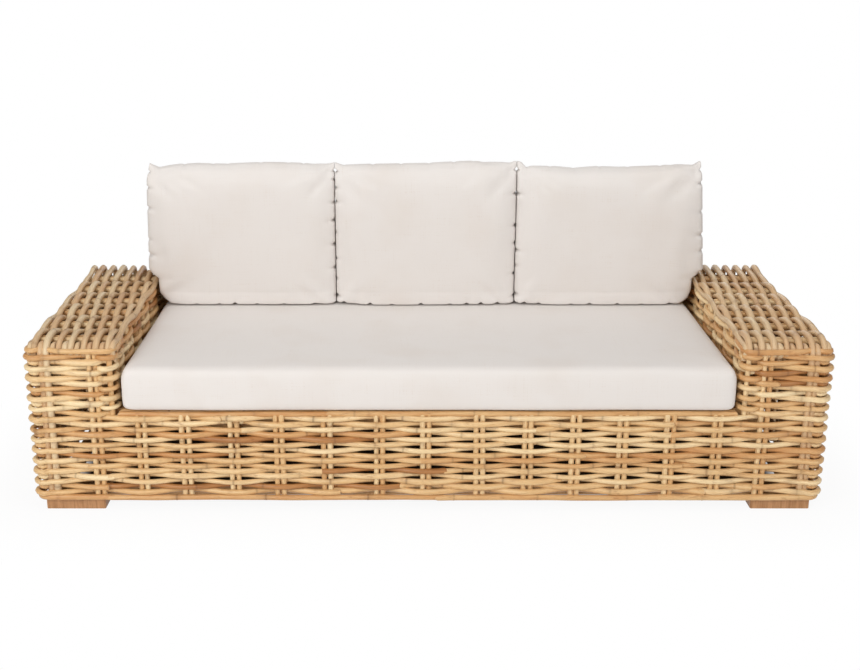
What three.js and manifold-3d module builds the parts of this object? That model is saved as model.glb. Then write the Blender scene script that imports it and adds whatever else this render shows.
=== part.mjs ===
// Rattan garden sofa: thick natural cane woven on pairs of stakes over a timber frame,
// a slatted seat deck, one long box cushion and three loose back cushions.
// Millimetres. +Z is up, +X is right as seen from the front, and the front faces -Y.
// The origin is on the ground under the middle of the sofa. Left and right are as seen from the front.
import * as THREE from 'three';
import { mergeVertices } from 'three/addons/utils/BufferGeometryUtils.js';
import Module from 'manifold-3d';

// The whole sofa
const sofaWidth = 2360;
const sofaDepth = 896;
const armHeight = 540;
const armWidth = 269;
const backHeight = 745;
const backThickness = 108;
const backOverArm = 38; // how far each end of the back stands over an arm
const seatDeckHeight = 316;
const fitGap = 0.3; // between two pieces that touch

// The woven walls
const wallThickness = 44; // a cane in front, a stake, a cane behind
const caneSpacing = 15.7; // from row to row
const stakeSpacing = 142; // from one pair of stakes to the next
const weaveRelief = 14; // from the crest of a cane down to the stakes
const underCaneShare = 0.85; // how deep a cane lies where it passes behind a pair, of the relief
const cornerRadius = 30;
const cornerReturn = 50; // how far a wall runs on round its corner
const cornerSteps = 2;

// The woven tops of the arms and of the back
const topCaneSpacing = 17.3;
const topEdgeRadius = 40;

// Timber frame
const railWidth = 40;
const railHeight = 30;
const seatRailHeight = 40;
const edgeEase = 3; // small flat along each long edge
const bearerSpacing = 620;

// Slatted deck
const slatWidth = 60;
const slatThickness = 16;
const slatSpacing = 90;
const battenThickness = 10;
const slatHousing = 2; // how deep a slat is let into its batten

// Feet and their screws
const footWidth = 178;
const footDepth = 90;
const footHeight = 33.7;
const footSetBack = 20; // behind the woven face at the front and at the rear
const footInset = 26; // in from the end of the sofa
const footEase = 3;
const screwSpread = 80;
const screwLength = 55;
const screwDiameter = 6;
const screwHeadDiameter = 12;
const screwHeadHeight = 3.5;
const screwTipLength = 6;
const screwRecess = 6; // from the underside of the foot up to the head
const screwSides = 8;

// Seat cushion
const seatCushionSideGap = 9; // between the cushion and each arm
const seatCushionHeight = 137;
const seatCushionRadius = 28;
const seatCushionCrown = 5;
const seatCushionDrawIn = 7; // how far the middle of a side lies in from its ends
const seatRadiusSteps = 2;
const seatLengthSteps = 12;
const seatDepthSteps = 10;
const seatHeightSteps = 6;

// Back cushions
const backCushionCount = 3;
const backCushionHeight = 484;
const backCushionThickness = 138;
const backCushionGap = 2; // between neighbours, and between the outer ones and the arms
const backCushionDrawIn = 9; // how far the middle of an edge lies in from the corners
const backCushionSteps = 12;
const flatShare = 4; // power of the cushion's profile: the higher, the flatter its middle
const puffShare = 0.5; // power of the fall to the seam: the lower, the rounder the edge
const sagShare = 0.1; // how much fuller a back cushion is at its foot than at its top

// Worked out from the sizes above
const halfWidth = sofaWidth / 2;
const halfDepth = sofaDepth / 2;
const armInside = halfWidth - armWidth;
const weaveBottom = footHeight + fitGap;
const armWallTop = armHeight - wallThickness - fitGap;
const backFace = halfDepth - backThickness;
const backWallTop = backHeight - wallThickness - fitGap;
const backHalfWidth = armInside + backOverArm;
const wallEnd = halfWidth - cornerReturn; // where a long wall meets the end wall's return
const hollowSide = halfWidth - wallThickness - fitGap; // inner side of the end walls
const hollowFront = halfDepth - wallThickness - fitGap; // inner side of the front and rear walls
const armHollow = armInside + wallThickness + fitGap; // inner side of the arms' seat walls
const bottomRailTop = weaveBottom + railHeight;
const armRailBottom = armWallTop - railHeight;
const deckBack = backFace + wallThickness - fitGap;
const deckEnd = armInside + wallThickness;
const slatBottom = seatDeckHeight - slatThickness;
const battenBottom = slatBottom - battenThickness;
const seatRailTop = battenBottom - fitGap;
const seatTop = seatDeckHeight + fitGap + seatCushionHeight;
const seatCushionLength = 2 * (armInside - seatCushionSideGap);

const rattan = { color: '#c79f68', roughness: 0.55, metalness: 0 };
const agedRattan = { color: '#ad8c63', roughness: 0.6, metalness: 0 };
const timber = { color: '#a67c4f', roughness: 0.75, metalness: 0 };
const footWood = { color: '#b98b5b', roughness: 0.6, metalness: 0 };
const linen = { color: '#e8ded5', roughness: 0.95, metalness: 0 };
const zincSteel = { color: '#b4b6b2', roughness: 0.35, metalness: 1 };

const wasm = await Module();
wasm.setup();

const point = (x, y) => new THREE.Vector2(x, y);
const sides = [{ name: 'left', sign: -1 }, { name: 'right', sign: 1 }];

function namedMesh(name, geometry, look) {
  const mesh = new THREE.Mesh(geometry, new THREE.MeshStandardMaterial(look));
  mesh.name = name;
  return mesh;
}

// Joins equal vertices, drops the triangles that this closes up, and turns the faces outwards.
function closedGeometry(source) {
  const plain = source.clone();
  plain.deleteAttribute('normal');
  plain.deleteAttribute('uv');
  const merged = mergeVertices(plain);
  const index = merged.index.array;
  const place = merged.attributes.position;
  const [a, b, c] = [new THREE.Vector3(), new THREE.Vector3(), new THREE.Vector3()];
  const triangles = [];
  let volume = 0;
  for (let i = 0; i < index.length; i += 3) {
    const corners = [index[i], index[i + 1], index[i + 2]];
    if (new Set(corners).size < corners.length) continue;
    a.fromBufferAttribute(place, corners[0]);
    b.fromBufferAttribute(place, corners[1]);
    c.fromBufferAttribute(place, corners[2]);
    volume += a.dot(b.cross(c));
    triangles.push(corners);
  }
  merged.setIndex(triangles.flatMap((corners) => (volume < 0 ? corners.reverse() : corners)));
  merged.computeVertexNormals();
  return merged;
}

function toSolid(geometry) {
  const closed = closedGeometry(geometry);
  return new wasm.Manifold(new wasm.Mesh({
    numProp: 3,
    vertProperties: closed.attributes.position.array,
    triVerts: Uint32Array.from(closed.index.array),
  }));
}

function toGeometry(solid) {
  const mesh = solid.getMesh();
  const geometry = new THREE.BufferGeometry();
  geometry.setAttribute('position', new THREE.BufferAttribute(mesh.vertProperties, mesh.numProp));
  geometry.setIndex(Array.from(mesh.triVerts));
  geometry.computeVertexNormals();
  return geometry;
}

// The places along a wall where its canes pass a pair of stakes, and the steps round its corners.
// The wall follows the given corners with its outer face on the right, and every corner is square.
function weaveStations({ corners, radius, thickness, spacing }) {
  const legs = corners.slice(1).map((end, i) => {
    const along = end.clone().sub(corners[i]).normalize();
    return { start: corners[i], end, along, outward: point(along.y, -along.x) };
  });
  const stations = [];
  let crossing = 0;
  legs.forEach(({ start, end, along, outward }, i) => {
    const length = start.distanceTo(end);
    const first = i === 0;
    const last = i === legs.length - 1;
    const straight = length - (first ? 0 : radius) - (last ? 0 : radius);
    const crossings = Math.round(straight / spacing);
    const steps = Math.max(1, crossings);
    for (let k = 0; k <= steps; k += 1) {
      const run = (first ? 0 : radius) + straight * k / steps;
      const innerRun = THREE.MathUtils.clamp(run, first ? 0 : thickness, length - (last ? 0 : thickness));
      stations.push({
        outer: start.clone().addScaledVector(along, run),
        inner: start.clone().addScaledVector(along, innerRun).addScaledVector(outward, -thickness),
        outward,
        crossing: crossing + crossings * k / steps,
      });
    }
    crossing += crossings;
    if (last) return;
    // Past a square corner the next face looks the way that this leg runs.
    const centre = end.clone().addScaledVector(along, -radius).addScaledVector(outward, -radius);
    const mitre = end.clone().addScaledVector(along, -thickness).addScaledVector(outward, -thickness);
    for (let k = 1; k < cornerSteps; k += 1) {
      const turn = Math.PI / 2 * k / cornerSteps;
      const facing = outward.clone().multiplyScalar(Math.cos(turn)).addScaledVector(along, Math.sin(turn));
      stations.push({
        outer: centre.clone().addScaledVector(facing, radius),
        inner: mitre,
        outward: facing,
        crossing: crossing + k / cornerSteps,
      });
    }
    crossing += 1;
  });
  return stations;
}

// How deep the woven face lies: between two canes, on a straight border cane, or on a cane that
// passes in front of one pair of stakes and behind the next.
function weaveDepth(line, lineCount, crossing, borders) {
  const betweenCanes = line % 2 === 0;
  if (betweenCanes) return weaveRelief;
  const cane = (line - 1) / 2;
  if (borders.first && line === 1) return 0;
  if (borders.last && line === lineCount - 1) return 0;
  const inFront = (1 + Math.cos(Math.PI * (crossing + cane))) / 2;
  return weaveRelief * underCaneShare * (1 - inFront);
}

// A woven wall: ribbed like its rows of cane outside, plain inside. The route lies in one plane,
// the rows are stacked from low to high across it, and place turns the three into x, y and z.
function wovenWall({ corners, radius = cornerRadius, thickness = wallThickness, low, high, place,
  rowSpacing = caneSpacing, spacing = stakeSpacing, borders = {} }) {
  const stations = weaveStations({ corners, radius, thickness, spacing });
  const rows = Math.max(1, Math.round((high - low) / rowSpacing));
  const lineCount = 2 * rows;
  const count = stations.length;
  const positions = [];
  const depthAt = (line, station) => weaveDepth(line, lineCount, stations[station].crossing, borders);
  const addPoint = (spot, level) => positions.push(...place(spot.x, spot.y, level));
  for (let line = 0; line <= lineCount; line += 1) {
    stations.forEach(({ outer, outward }, s) => {
      const face = outer.clone().addScaledVector(outward, -depthAt(line, s));
      addPoint(face, low + (high - low) * line / lineCount);
    });
  }
  for (const level of [low, high]) {
    for (const { inner } of stations) addPoint(inner, level);
  }
  const outerAt = (line, station) => line * count + station;
  const innerLow = (station) => outerAt(lineCount + 1, station);
  const innerHigh = (station) => outerAt(lineCount + 2, station);
  const triangles = [];
  const addQuad = (a, b, c, d) => triangles.push(a, b, c, a, c, d);
  for (let s = 0; s < count - 1; s += 1) {
    for (let line = 0; line < lineCount; line += 1) {
      const quad = [outerAt(line, s), outerAt(line, s + 1), outerAt(line + 1, s + 1), outerAt(line + 1, s)];
      // Each four-sided patch is folded along the diagonal that leaves the nearer crest standing.
      const rising = depthAt(line, s) + depthAt(line + 1, s + 1);
      const falling = depthAt(line, s + 1) + depthAt(line + 1, s);
      if (falling < rising) quad.push(quad.shift());
      addQuad(...quad);
    }
    addQuad(innerLow(s), innerHigh(s), innerHigh(s + 1), innerLow(s + 1));
    addQuad(outerAt(0, s + 1), outerAt(0, s), innerLow(s), innerLow(s + 1));
    addQuad(outerAt(lineCount, s), outerAt(lineCount, s + 1), innerHigh(s + 1), innerHigh(s));
  }
  for (const s of [0, count - 1]) {
    const rim = Array.from({ length: lineCount + 1 }, (_, line) => outerAt(line, s));
    const outline = rim.map((_, line) => point(
      thickness - depthAt(line, s),
      low + (high - low) * line / lineCount,
    ));
    rim.push(innerHigh(s), innerLow(s));
    outline.push(point(0, high), point(0, low));
    for (const face of THREE.ShapeUtils.triangulateShape(outline, [])) {
      const turned = s === 0 ? face : [...face].reverse();
      triangles.push(...turned.map((corner) => rim[corner]));
    }
  }
  const geometry = new THREE.BufferGeometry();
  geometry.setAttribute('position', new THREE.Float32BufferAttribute(positions, 3));
  geometry.setIndex(triangles);
  return closedGeometry(geometry);
}

// Ways to place a wall: upright with level rows, on either side of the sofa, or lying on top.
const upright = (x, y, level) => [x, y, level];
const uprightOn = (sign) => (x, y, level) => [sign * x, y, level];
const armTopOn = (sign) => (y, z, across) => [sign * across, y, z];
const backTopWay = (x, z, across) => [x, across, z];

function longWalls() {
  const front = wovenWall({
    corners: [point(-wallEnd + fitGap, -halfDepth), point(wallEnd - fitGap, -halfDepth)],
    low: weaveBottom,
    high: seatDeckHeight,
    place: upright,
    borders: { first: true, last: true },
  });
  const rear = wovenWall({
    corners: [point(wallEnd - fitGap, halfDepth), point(-wallEnd + fitGap, halfDepth)],
    low: weaveBottom,
    high: armWallTop,
    place: upright,
    borders: { first: true },
  });
  return [namedMesh('front_weave', front, rattan), namedMesh('rear_weave', rear, rattan)];
}

function armWalls({ name, sign }) {
  const place = uprightOn(sign);
  const frontWall = wovenWall({
    corners: [
      point(armInside, cornerReturn - halfDepth),
      point(armInside, -halfDepth),
      point(wallEnd - fitGap, -halfDepth),
    ],
    low: seatDeckHeight + fitGap,
    high: armWallTop,
    place,
  });
  const endWall = wovenWall({
    corners: [
      point(wallEnd, -halfDepth),
      point(halfWidth, -halfDepth),
      point(halfWidth, halfDepth),
      point(wallEnd, halfDepth),
    ],
    low: weaveBottom,
    high: armWallTop,
    place,
    borders: { first: true },
  });
  const seatWall = wovenWall({
    corners: [point(armInside, hollowFront), point(armInside, cornerReturn - halfDepth + fitGap)],
    low: seatDeckHeight + fitGap,
    high: armWallTop,
    place,
  });
  const top = wovenWall({
    corners: [
      point(halfDepth, armHeight),
      point(-halfDepth, armHeight),
      point(-halfDepth, armHeight - wallThickness),
    ],
    radius: topEdgeRadius,
    low: armInside,
    high: halfWidth,
    place: armTopOn(sign),
    rowSpacing: topCaneSpacing,
    spacing: stakeSpacing,
    borders: { first: true },
  });
  return [
    namedMesh(`arm_front_weave_${name}`, frontWall, rattan),
    namedMesh(`arm_end_weave_${name}`, endWall, rattan),
    namedMesh(`arm_seat_weave_${name}`, seatWall, rattan),
    namedMesh(`arm_top_weave_${name}`, top, agedRattan),
  ];
}

function backWalls() {
  const seatSide = wovenWall({
    corners: [point(-armInside + fitGap, backFace), point(armInside - fitGap, backFace)],
    low: seatDeckHeight + fitGap,
    high: backWallTop,
    place: upright,
  });
  const rearSide = wovenWall({
    corners: [point(armInside - fitGap, halfDepth), point(-armInside + fitGap, halfDepth)],
    low: armWallTop + fitGap,
    high: backWallTop,
    place: upright,
  });
  const top = wovenWall({
    corners: [
      point(backHalfWidth, backHeight - wallThickness),
      point(backHalfWidth, backHeight),
      point(-backHalfWidth, backHeight),
      point(-backHalfWidth, backHeight - wallThickness),
    ],
    radius: topEdgeRadius,
    low: backFace,
    high: halfDepth,
    place: backTopWay,
    rowSpacing: topCaneSpacing,
  });
  const ends = sides.map(({ name, sign }) => namedMesh(`back_end_weave_${name}`, wovenWall({
    corners: [
      point(armInside, backFace),
      point(backHalfWidth, backFace),
      point(backHalfWidth, halfDepth),
      point(armInside, halfDepth),
    ],
    radius: Math.min(cornerRadius, backOverArm),
    thickness: backOverArm,
    low: armHeight + fitGap,
    high: backWallTop,
    place: uprightOn(sign),
  }), rattan));
  return [
    namedMesh('back_seat_side_weave', seatSide, rattan),
    namedMesh('back_rear_weave', rearSide, rattan),
    namedMesh('back_top_weave', top, agedRattan),
    ...ends,
  ];
}

// A length of timber between two opposite corners, with its long edges eased.
function timberPiece(name, from, to, look = timber) {
  const low = from.clone().min(to);
  const size = from.clone().max(to).sub(low);
  const length = Math.max(size.x, size.y, size.z);
  const alongX = length === size.x;
  const alongY = !alongX && length === size.y;
  const width = alongX ? size.z : size.x;
  const height = alongX || !alongY ? size.y : size.z;
  const [x, y] = [width / 2, height / 2];
  const section = new THREE.Shape([
    point(x - edgeEase, -y), point(x, edgeEase - y), point(x, y - edgeEase), point(x - edgeEase, y),
    point(edgeEase - x, y), point(-x, y - edgeEase), point(-x, edgeEase - y), point(edgeEase - x, -y),
  ]);
  const geometry = new THREE.ExtrudeGeometry(section, { depth: length, bevelEnabled: false });
  geometry.translate(0, 0, -length / 2);
  if (alongX) geometry.rotateY(Math.PI / 2);
  if (alongY) geometry.rotateX(Math.PI / 2);
  const mesh = namedMesh(name, closedGeometry(geometry), look);
  mesh.position.copy(size).divideScalar(2).add(low);
  return mesh;
}

// The screws stand upright, two to a foot, and pass through the foot into the bottom rail.
const footX = halfWidth - footInset - footWidth / 2;
const railY = hollowFront - railWidth / 2;
const screwPlaces = [-1, 1].flatMap((signX) => [-1, 1].flatMap((signY) => [-1, 1].map((signScrew) => ({
  foot: `${signY < 0 ? 'front' : 'rear'}_${signX < 0 ? 'left' : 'right'}`,
  which: signScrew * signX < 0 ? 'inner' : 'outer',
  x: signX * footX + signScrew * screwSpread / 2,
  y: signY * railY,
}))));

function uprightRound(radius, low, high) {
  const geometry = new THREE.CylinderGeometry(radius, radius, high - low, screwSides);
  geometry.rotateX(Math.PI / 2);
  geometry.translate(0, 0, (low + high) / 2);
  return geometry;
}

// Cuts the clearance of every screw that passes through a mesh out of it.
function drillForScrews(mesh) {
  let solid = toSolid(mesh.geometry);
  const tip = screwRecess + screwLength + fitGap;
  const box = new THREE.Box3().setFromBufferAttribute(mesh.geometry.attributes.position);
  box.translate(mesh.position);
  for (const { x, y } of screwPlaces) {
    if (x < box.min.x || x > box.max.x || y < box.min.y || y > box.max.y) continue;
    const shank = uprightRound(screwDiameter / 2 + fitGap, -screwRecess, tip);
    const head = uprightRound(screwHeadDiameter / 2 + fitGap, -screwRecess,
      screwRecess + screwHeadHeight + fitGap);
    for (const cut of [shank, head]) {
      cut.translate(x - mesh.position.x, y - mesh.position.y, -mesh.position.z);
      solid = solid.subtract(toSolid(cut));
    }
  }
  mesh.geometry = toGeometry(solid);
  return mesh;
}

function feet() {
  return [-1, 1].flatMap((signX) => [-1, 1].map((signY) => {
    const x = signX * footX;
    const front = signY * (halfDepth - footSetBack);
    const outline = new THREE.Shape([
      point(footEase - footWidth / 2, 0), point(footWidth / 2 - footEase, 0),
      point(footWidth / 2, footEase), point(footWidth / 2, footDepth - footEase),
      point(footWidth / 2 - footEase, footDepth), point(footEase - footWidth / 2, footDepth),
      point(-footWidth / 2, footDepth - footEase), point(-footWidth / 2, footEase),
    ]);
    const block = new THREE.ExtrudeGeometry(outline, { depth: footHeight, bevelEnabled: false });
    block.translate(0, -footDepth / 2, 0);
    const place = `${signY < 0 ? 'front' : 'rear'}_${signX < 0 ? 'left' : 'right'}`;
    const foot = namedMesh(`foot_${place}`, closedGeometry(block), footWood);
    foot.position.set(x, front - signY * footDepth / 2, 0);
    return drillForScrews(foot);
  }));
}

function footScrews() {
  const shank = screwDiameter / 2;
  const head = screwHeadDiameter / 2;
  const profile = [
    point(0, 0), point(head, 0), point(head, screwHeadHeight), point(shank, screwHeadHeight),
    point(shank, screwLength - screwTipLength), point(0, screwLength),
  ];
  return screwPlaces.map(({ foot, which, x, y }) => {
    const turned = new THREE.LatheGeometry(profile, screwSides);
    turned.rotateX(Math.PI / 2);
    const screw = namedMesh(`foot_screw_${foot}_${which}`, closedGeometry(turned), zincSteel);
    screw.position.set(x, y, screwRecess);
    return screw;
  });
}

function baseFrame() {
  const at = (x, y, z) => new THREE.Vector3(x, y, z);
  const railInside = hollowFront - railWidth;
  const long = [['front', -1], ['rear', 1]].map(([name, sign]) => drillForScrews(timberPiece(
    `bottom_rail_${name}`,
    at(-hollowSide, sign * railInside, weaveBottom),
    at(hollowSide, sign * hollowFront, bottomRailTop),
  )));
  const cross = sides.flatMap(({ name, sign }) => [
    ['end', hollowSide - railWidth, hollowSide],
    ['inner', armHollow, armHollow + railWidth],
  ].map(([where, near, far]) => timberPiece(
    `bottom_rail_${where}_${name}`,
    at(sign * near, fitGap - railInside, weaveBottom),
    at(sign * far, railInside - fitGap, bottomRailTop),
  )));
  return [...long, ...cross];
}

function armFrame({ name, sign }) {
  const at = (x, y, z) => new THREE.Vector3(sign * x, y, z);
  const spots = [
    ['outer', hollowSide - railWidth, hollowSide],
    ['inner', armHollow, armHollow + railWidth],
  ];
  return spots.flatMap(([where, near, far]) => [
    ...[['front', -1], ['rear', 1]].map(([end, signY]) => timberPiece(
      `arm_post_${end}_${where}_${name}`,
      at(near, signY * (hollowFront - railWidth), bottomRailTop + fitGap),
      at(far, signY * hollowFront, armRailBottom - fitGap),
    )),
    timberPiece(
      `arm_rail_${where}_${name}`,
      at(near, -hollowFront, armRailBottom),
      at(far, hollowFront, armWallTop),
    ),
  ]);
}

function seatFrame() {
  const at = (x, y, z) => new THREE.Vector3(x, y, z);
  const frontRailBack = railWidth - hollowFront;
  const rearRailFront = deckBack - railWidth;
  const railBottom = seatRailTop - seatRailHeight;
  const bearerTop = slatBottom - fitGap;
  const rails = [
    timberPiece('seat_rail_front', at(-deckEnd, -hollowFront, railBottom),
      at(deckEnd, frontRailBack, seatRailTop)),
    timberPiece('seat_rail_rear', at(-deckEnd, rearRailFront, railBottom),
      at(deckEnd, deckBack, seatRailTop)),
  ];
  const bearers = sides.map(({ name, sign }) => timberPiece(
    `seat_bearer_${name}`,
    at((sign * bearerSpacing - railWidth) / 2, frontRailBack + fitGap, bearerTop - seatRailHeight),
    at((sign * bearerSpacing + railWidth) / 2, rearRailFront - fitGap, bearerTop),
  ));
  return [...rails, ...bearers];
}

function backFrame() {
  const near = backFace + wallThickness + fitGap;
  const railBottom = backWallTop - railHeight;
  const end = armInside - fitGap;
  const post = (name, x) => timberPiece(
    `back_post_${name}`,
    new THREE.Vector3(x - railWidth / 2, near, bottomRailTop + fitGap),
    new THREE.Vector3(x + railWidth / 2, hollowFront, railBottom - fitGap),
  );
  return [
    post('left', railWidth / 2 - end),
    post('middle', 0),
    post('right', end - railWidth / 2),
    timberPiece(
      'back_top_rail',
      new THREE.Vector3(-end, near, railBottom),
      new THREE.Vector3(end, hollowFront, backWallTop),
    ),
  ];
}

// Slats from front to back, let into a batten along each end and fixed as one deck.
function seatDeck() {
  const box = (from, to) => {
    const size = to.clone().sub(from);
    const geometry = new THREE.BoxGeometry(size.x, size.y, size.z);
    geometry.translate((from.x + to.x) / 2, (from.y + to.y) / 2, (from.z + to.z) / 2);
    return toSolid(geometry);
  };
  const front = -hollowFront;
  const battens = [[front, front + railWidth], [deckBack - railWidth, deckBack]].map(([near, far]) => box(
    new THREE.Vector3(-deckEnd, near, battenBottom),
    new THREE.Vector3(deckEnd, far, slatBottom + slatHousing),
  ));
  const gaps = Math.round((2 * deckEnd - slatWidth) / slatSpacing);
  const slats = Array.from({ length: gaps + 1 }, (_, i) => {
    const start = -deckEnd + (2 * deckEnd - slatWidth) * i / gaps;
    return box(
      new THREE.Vector3(start, front, slatBottom),
      new THREE.Vector3(start + slatWidth, deckBack, seatDeckHeight),
    );
  });
  const deck = [...battens, ...slats].reduce((whole, piece) => whole.add(piece));
  return namedMesh('seat_deck', toGeometry(deck), timber);
}

// Where step k of a rounded side lies: closely spaced round its two edges, evenly between them.
function roundedStep(share, steps, length, radius) {
  const k = Math.round((share + 1) / 2 * steps);
  if (k <= seatRadiusSteps) return radius * k / seatRadiusSteps - length / 2;
  if (k >= steps - seatRadiusSteps) return length / 2 - radius * (steps - k) / seatRadiusSteps;
  const middle = steps - 2 * seatRadiusSteps;
  return (length / 2 - radius) * (2 * (k - seatRadiusSteps) / middle - 1);
}

// A long box cushion with round edges, a crowned top, and sides drawn in between its corners.
function seatCushion() {
  const length = seatCushionLength;
  const depth = backFace - fitGap + halfDepth;
  const height = seatCushionHeight - seatCushionCrown;
  const geometry = new THREE.BoxGeometry(2, 2, 2, seatLengthSteps, seatDepthSteps, seatHeightSteps);
  const place = geometry.attributes.position;
  const radius = seatCushionRadius;
  const core = new THREE.Vector3(length, depth, height).divideScalar(2).subScalar(radius);
  const spot = new THREE.Vector3();
  for (let i = 0; i < place.count; i += 1) {
    spot.set(
      roundedStep(place.getX(i), seatLengthSteps, length, radius),
      roundedStep(place.getY(i), seatDepthSteps, depth, radius),
      roundedStep(place.getZ(i), seatHeightSteps, height, radius),
    );
    const inside = spot.clone().clamp(core.clone().negate(), core);
    spot.sub(inside).normalize().multiplyScalar(radius).add(inside);
    const alongShare = 1 - (2 * spot.x / length) ** 2;
    const acrossShare = 1 - (2 * spot.y / depth) ** 2;
    const crown = spot.z > 0 ? seatCushionCrown * alongShare * acrossShare : 0;
    place.setXYZ(
      i,
      spot.x * (1 - 2 * seatCushionDrawIn / length * acrossShare),
      spot.y * (1 - 2 * seatCushionDrawIn / depth * alongShare),
      spot.z + crown,
    );
  }
  const cushion = namedMesh('seat_cushion', closedGeometry(geometry), linen);
  cushion.position.set(0, (backFace - fitGap - halfDepth) / 2, seatDeckHeight + fitGap + height / 2);
  return cushion;
}

// A loose cushion sewn from two faces along one seam: full in the middle, drawn in along its edges
// and pointed at its corners. It stands on the seat cushion against the woven back.
function backCushion(name, x, width) {
  const geometry = new THREE.BoxGeometry(2, 2, 2, backCushionSteps, 1, backCushionSteps);
  const place = geometry.attributes.position;
  const fullness = (share) => (1 - Math.abs(share) ** flatShare) ** puffShare;
  for (let i = 0; i < place.count; i += 1) {
    const across = Math.sin(place.getX(i) * Math.PI / 2);
    const up = Math.sin(place.getZ(i) * Math.PI / 2);
    const thick = fullness(across) * fullness(up) * (1 - sagShare * up) / (1 + sagShare);
    place.setXYZ(
      i,
      across * (width / 2 - backCushionDrawIn * (1 - up * up)),
      place.getY(i) * thick * backCushionThickness / 2,
      up * (backCushionHeight / 2 - backCushionDrawIn * (1 - across * across)),
    );
  }
  const closed = closedGeometry(geometry);
  closed.computeBoundingBox();
  const cushion = namedMesh(`back_cushion_${name}`, closed, linen);
  const { min, max } = closed.boundingBox;
  cushion.position.set(x, backFace - fitGap - max.y, seatTop + fitGap - min.z);
  return cushion;
}

function backCushions() {
  const space = 2 * armInside - backCushionGap;
  const width = space / backCushionCount - backCushionGap;
  return ['left', 'middle', 'right'].map((name, i) => backCushion(
    name,
    (i + (1 - backCushionCount) / 2) * (width + backCushionGap),
    width,
  ));
}

function groupOf(...meshes) {
  const group = new THREE.Group();
  group.add(...meshes);
  return group;
}

const sofa = groupOf(
  groupOf(...longWalls(), ...sides.flatMap(armWalls), ...backWalls()),
  groupOf(...baseFrame(), ...sides.flatMap(armFrame), ...seatFrame(), ...backFrame(), seatDeck()),
  groupOf(...feet(), ...footScrews()),
  groupOf(seatCushion(), ...backCushions()),
);

export default sofa;
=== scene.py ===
"""Looks of the rattan garden sofa: woven canes, timber, feet, cushions, and the stage round them."""

import math

import bmesh
import bpy
import numpy as np
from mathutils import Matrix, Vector


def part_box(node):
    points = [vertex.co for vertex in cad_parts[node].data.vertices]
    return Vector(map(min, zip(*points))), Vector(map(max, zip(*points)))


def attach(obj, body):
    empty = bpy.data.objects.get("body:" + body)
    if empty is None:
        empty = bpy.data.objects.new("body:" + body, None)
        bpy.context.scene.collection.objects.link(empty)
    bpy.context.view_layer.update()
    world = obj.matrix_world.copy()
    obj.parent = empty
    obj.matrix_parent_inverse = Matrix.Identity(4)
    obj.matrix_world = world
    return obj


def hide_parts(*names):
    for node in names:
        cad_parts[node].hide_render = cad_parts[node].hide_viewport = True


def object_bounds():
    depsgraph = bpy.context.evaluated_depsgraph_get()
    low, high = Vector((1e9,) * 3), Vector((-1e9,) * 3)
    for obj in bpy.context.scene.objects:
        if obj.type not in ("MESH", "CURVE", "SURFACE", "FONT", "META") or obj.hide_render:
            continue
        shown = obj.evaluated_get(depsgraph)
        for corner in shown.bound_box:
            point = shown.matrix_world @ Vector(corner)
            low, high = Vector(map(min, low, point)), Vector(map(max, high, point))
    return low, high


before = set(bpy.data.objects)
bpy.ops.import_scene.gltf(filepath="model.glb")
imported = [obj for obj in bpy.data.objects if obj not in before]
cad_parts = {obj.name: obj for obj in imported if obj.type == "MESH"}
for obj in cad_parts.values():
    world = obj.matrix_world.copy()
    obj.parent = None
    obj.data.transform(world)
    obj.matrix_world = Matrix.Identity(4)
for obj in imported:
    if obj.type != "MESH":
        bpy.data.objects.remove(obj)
cad_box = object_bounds()

bl_info = {
    "name": "Rattan garden sofa",
    "version": (1, 0, 0),
    "blender": (4, 5, 0),
    "location": "3D View > Sidebar > Sofa",
    "description": "Weaves, upholsters and stages a rattan garden sofa round its packed frame",
    "category": "Add Mesh",
}

MM = 0.001
SIDES = ("left", "right")
SIDE_SIGN = {"left": -1.0, "right": 1.0}

# Places of the woven walls, read from the frame
half_width = cad_box[1].x
half_depth = cad_box[1].y
weave_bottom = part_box("front_weave")[0].z
arm_top_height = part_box("arm_top_weave_left")[1].z
arm_inside = -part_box("arm_seat_weave_left")[1].x
back_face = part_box("back_seat_side_weave")[0].y
back_half_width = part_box("back_top_weave")[1].x
back_top_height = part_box("back_top_weave")[1].z
seat_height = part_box("seat_cushion")[0].z


def length(name, description, default):
    """A length that can be changed in the sidebar."""
    return bpy.props.FloatProperty(name=name, description=description, default=default, unit="LENGTH")


def colour(name, description, default):
    """A colour that can be changed in the sidebar, as an sRGB hex value."""
    return bpy.props.StringProperty(name=name, description=description, default=default)


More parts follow.
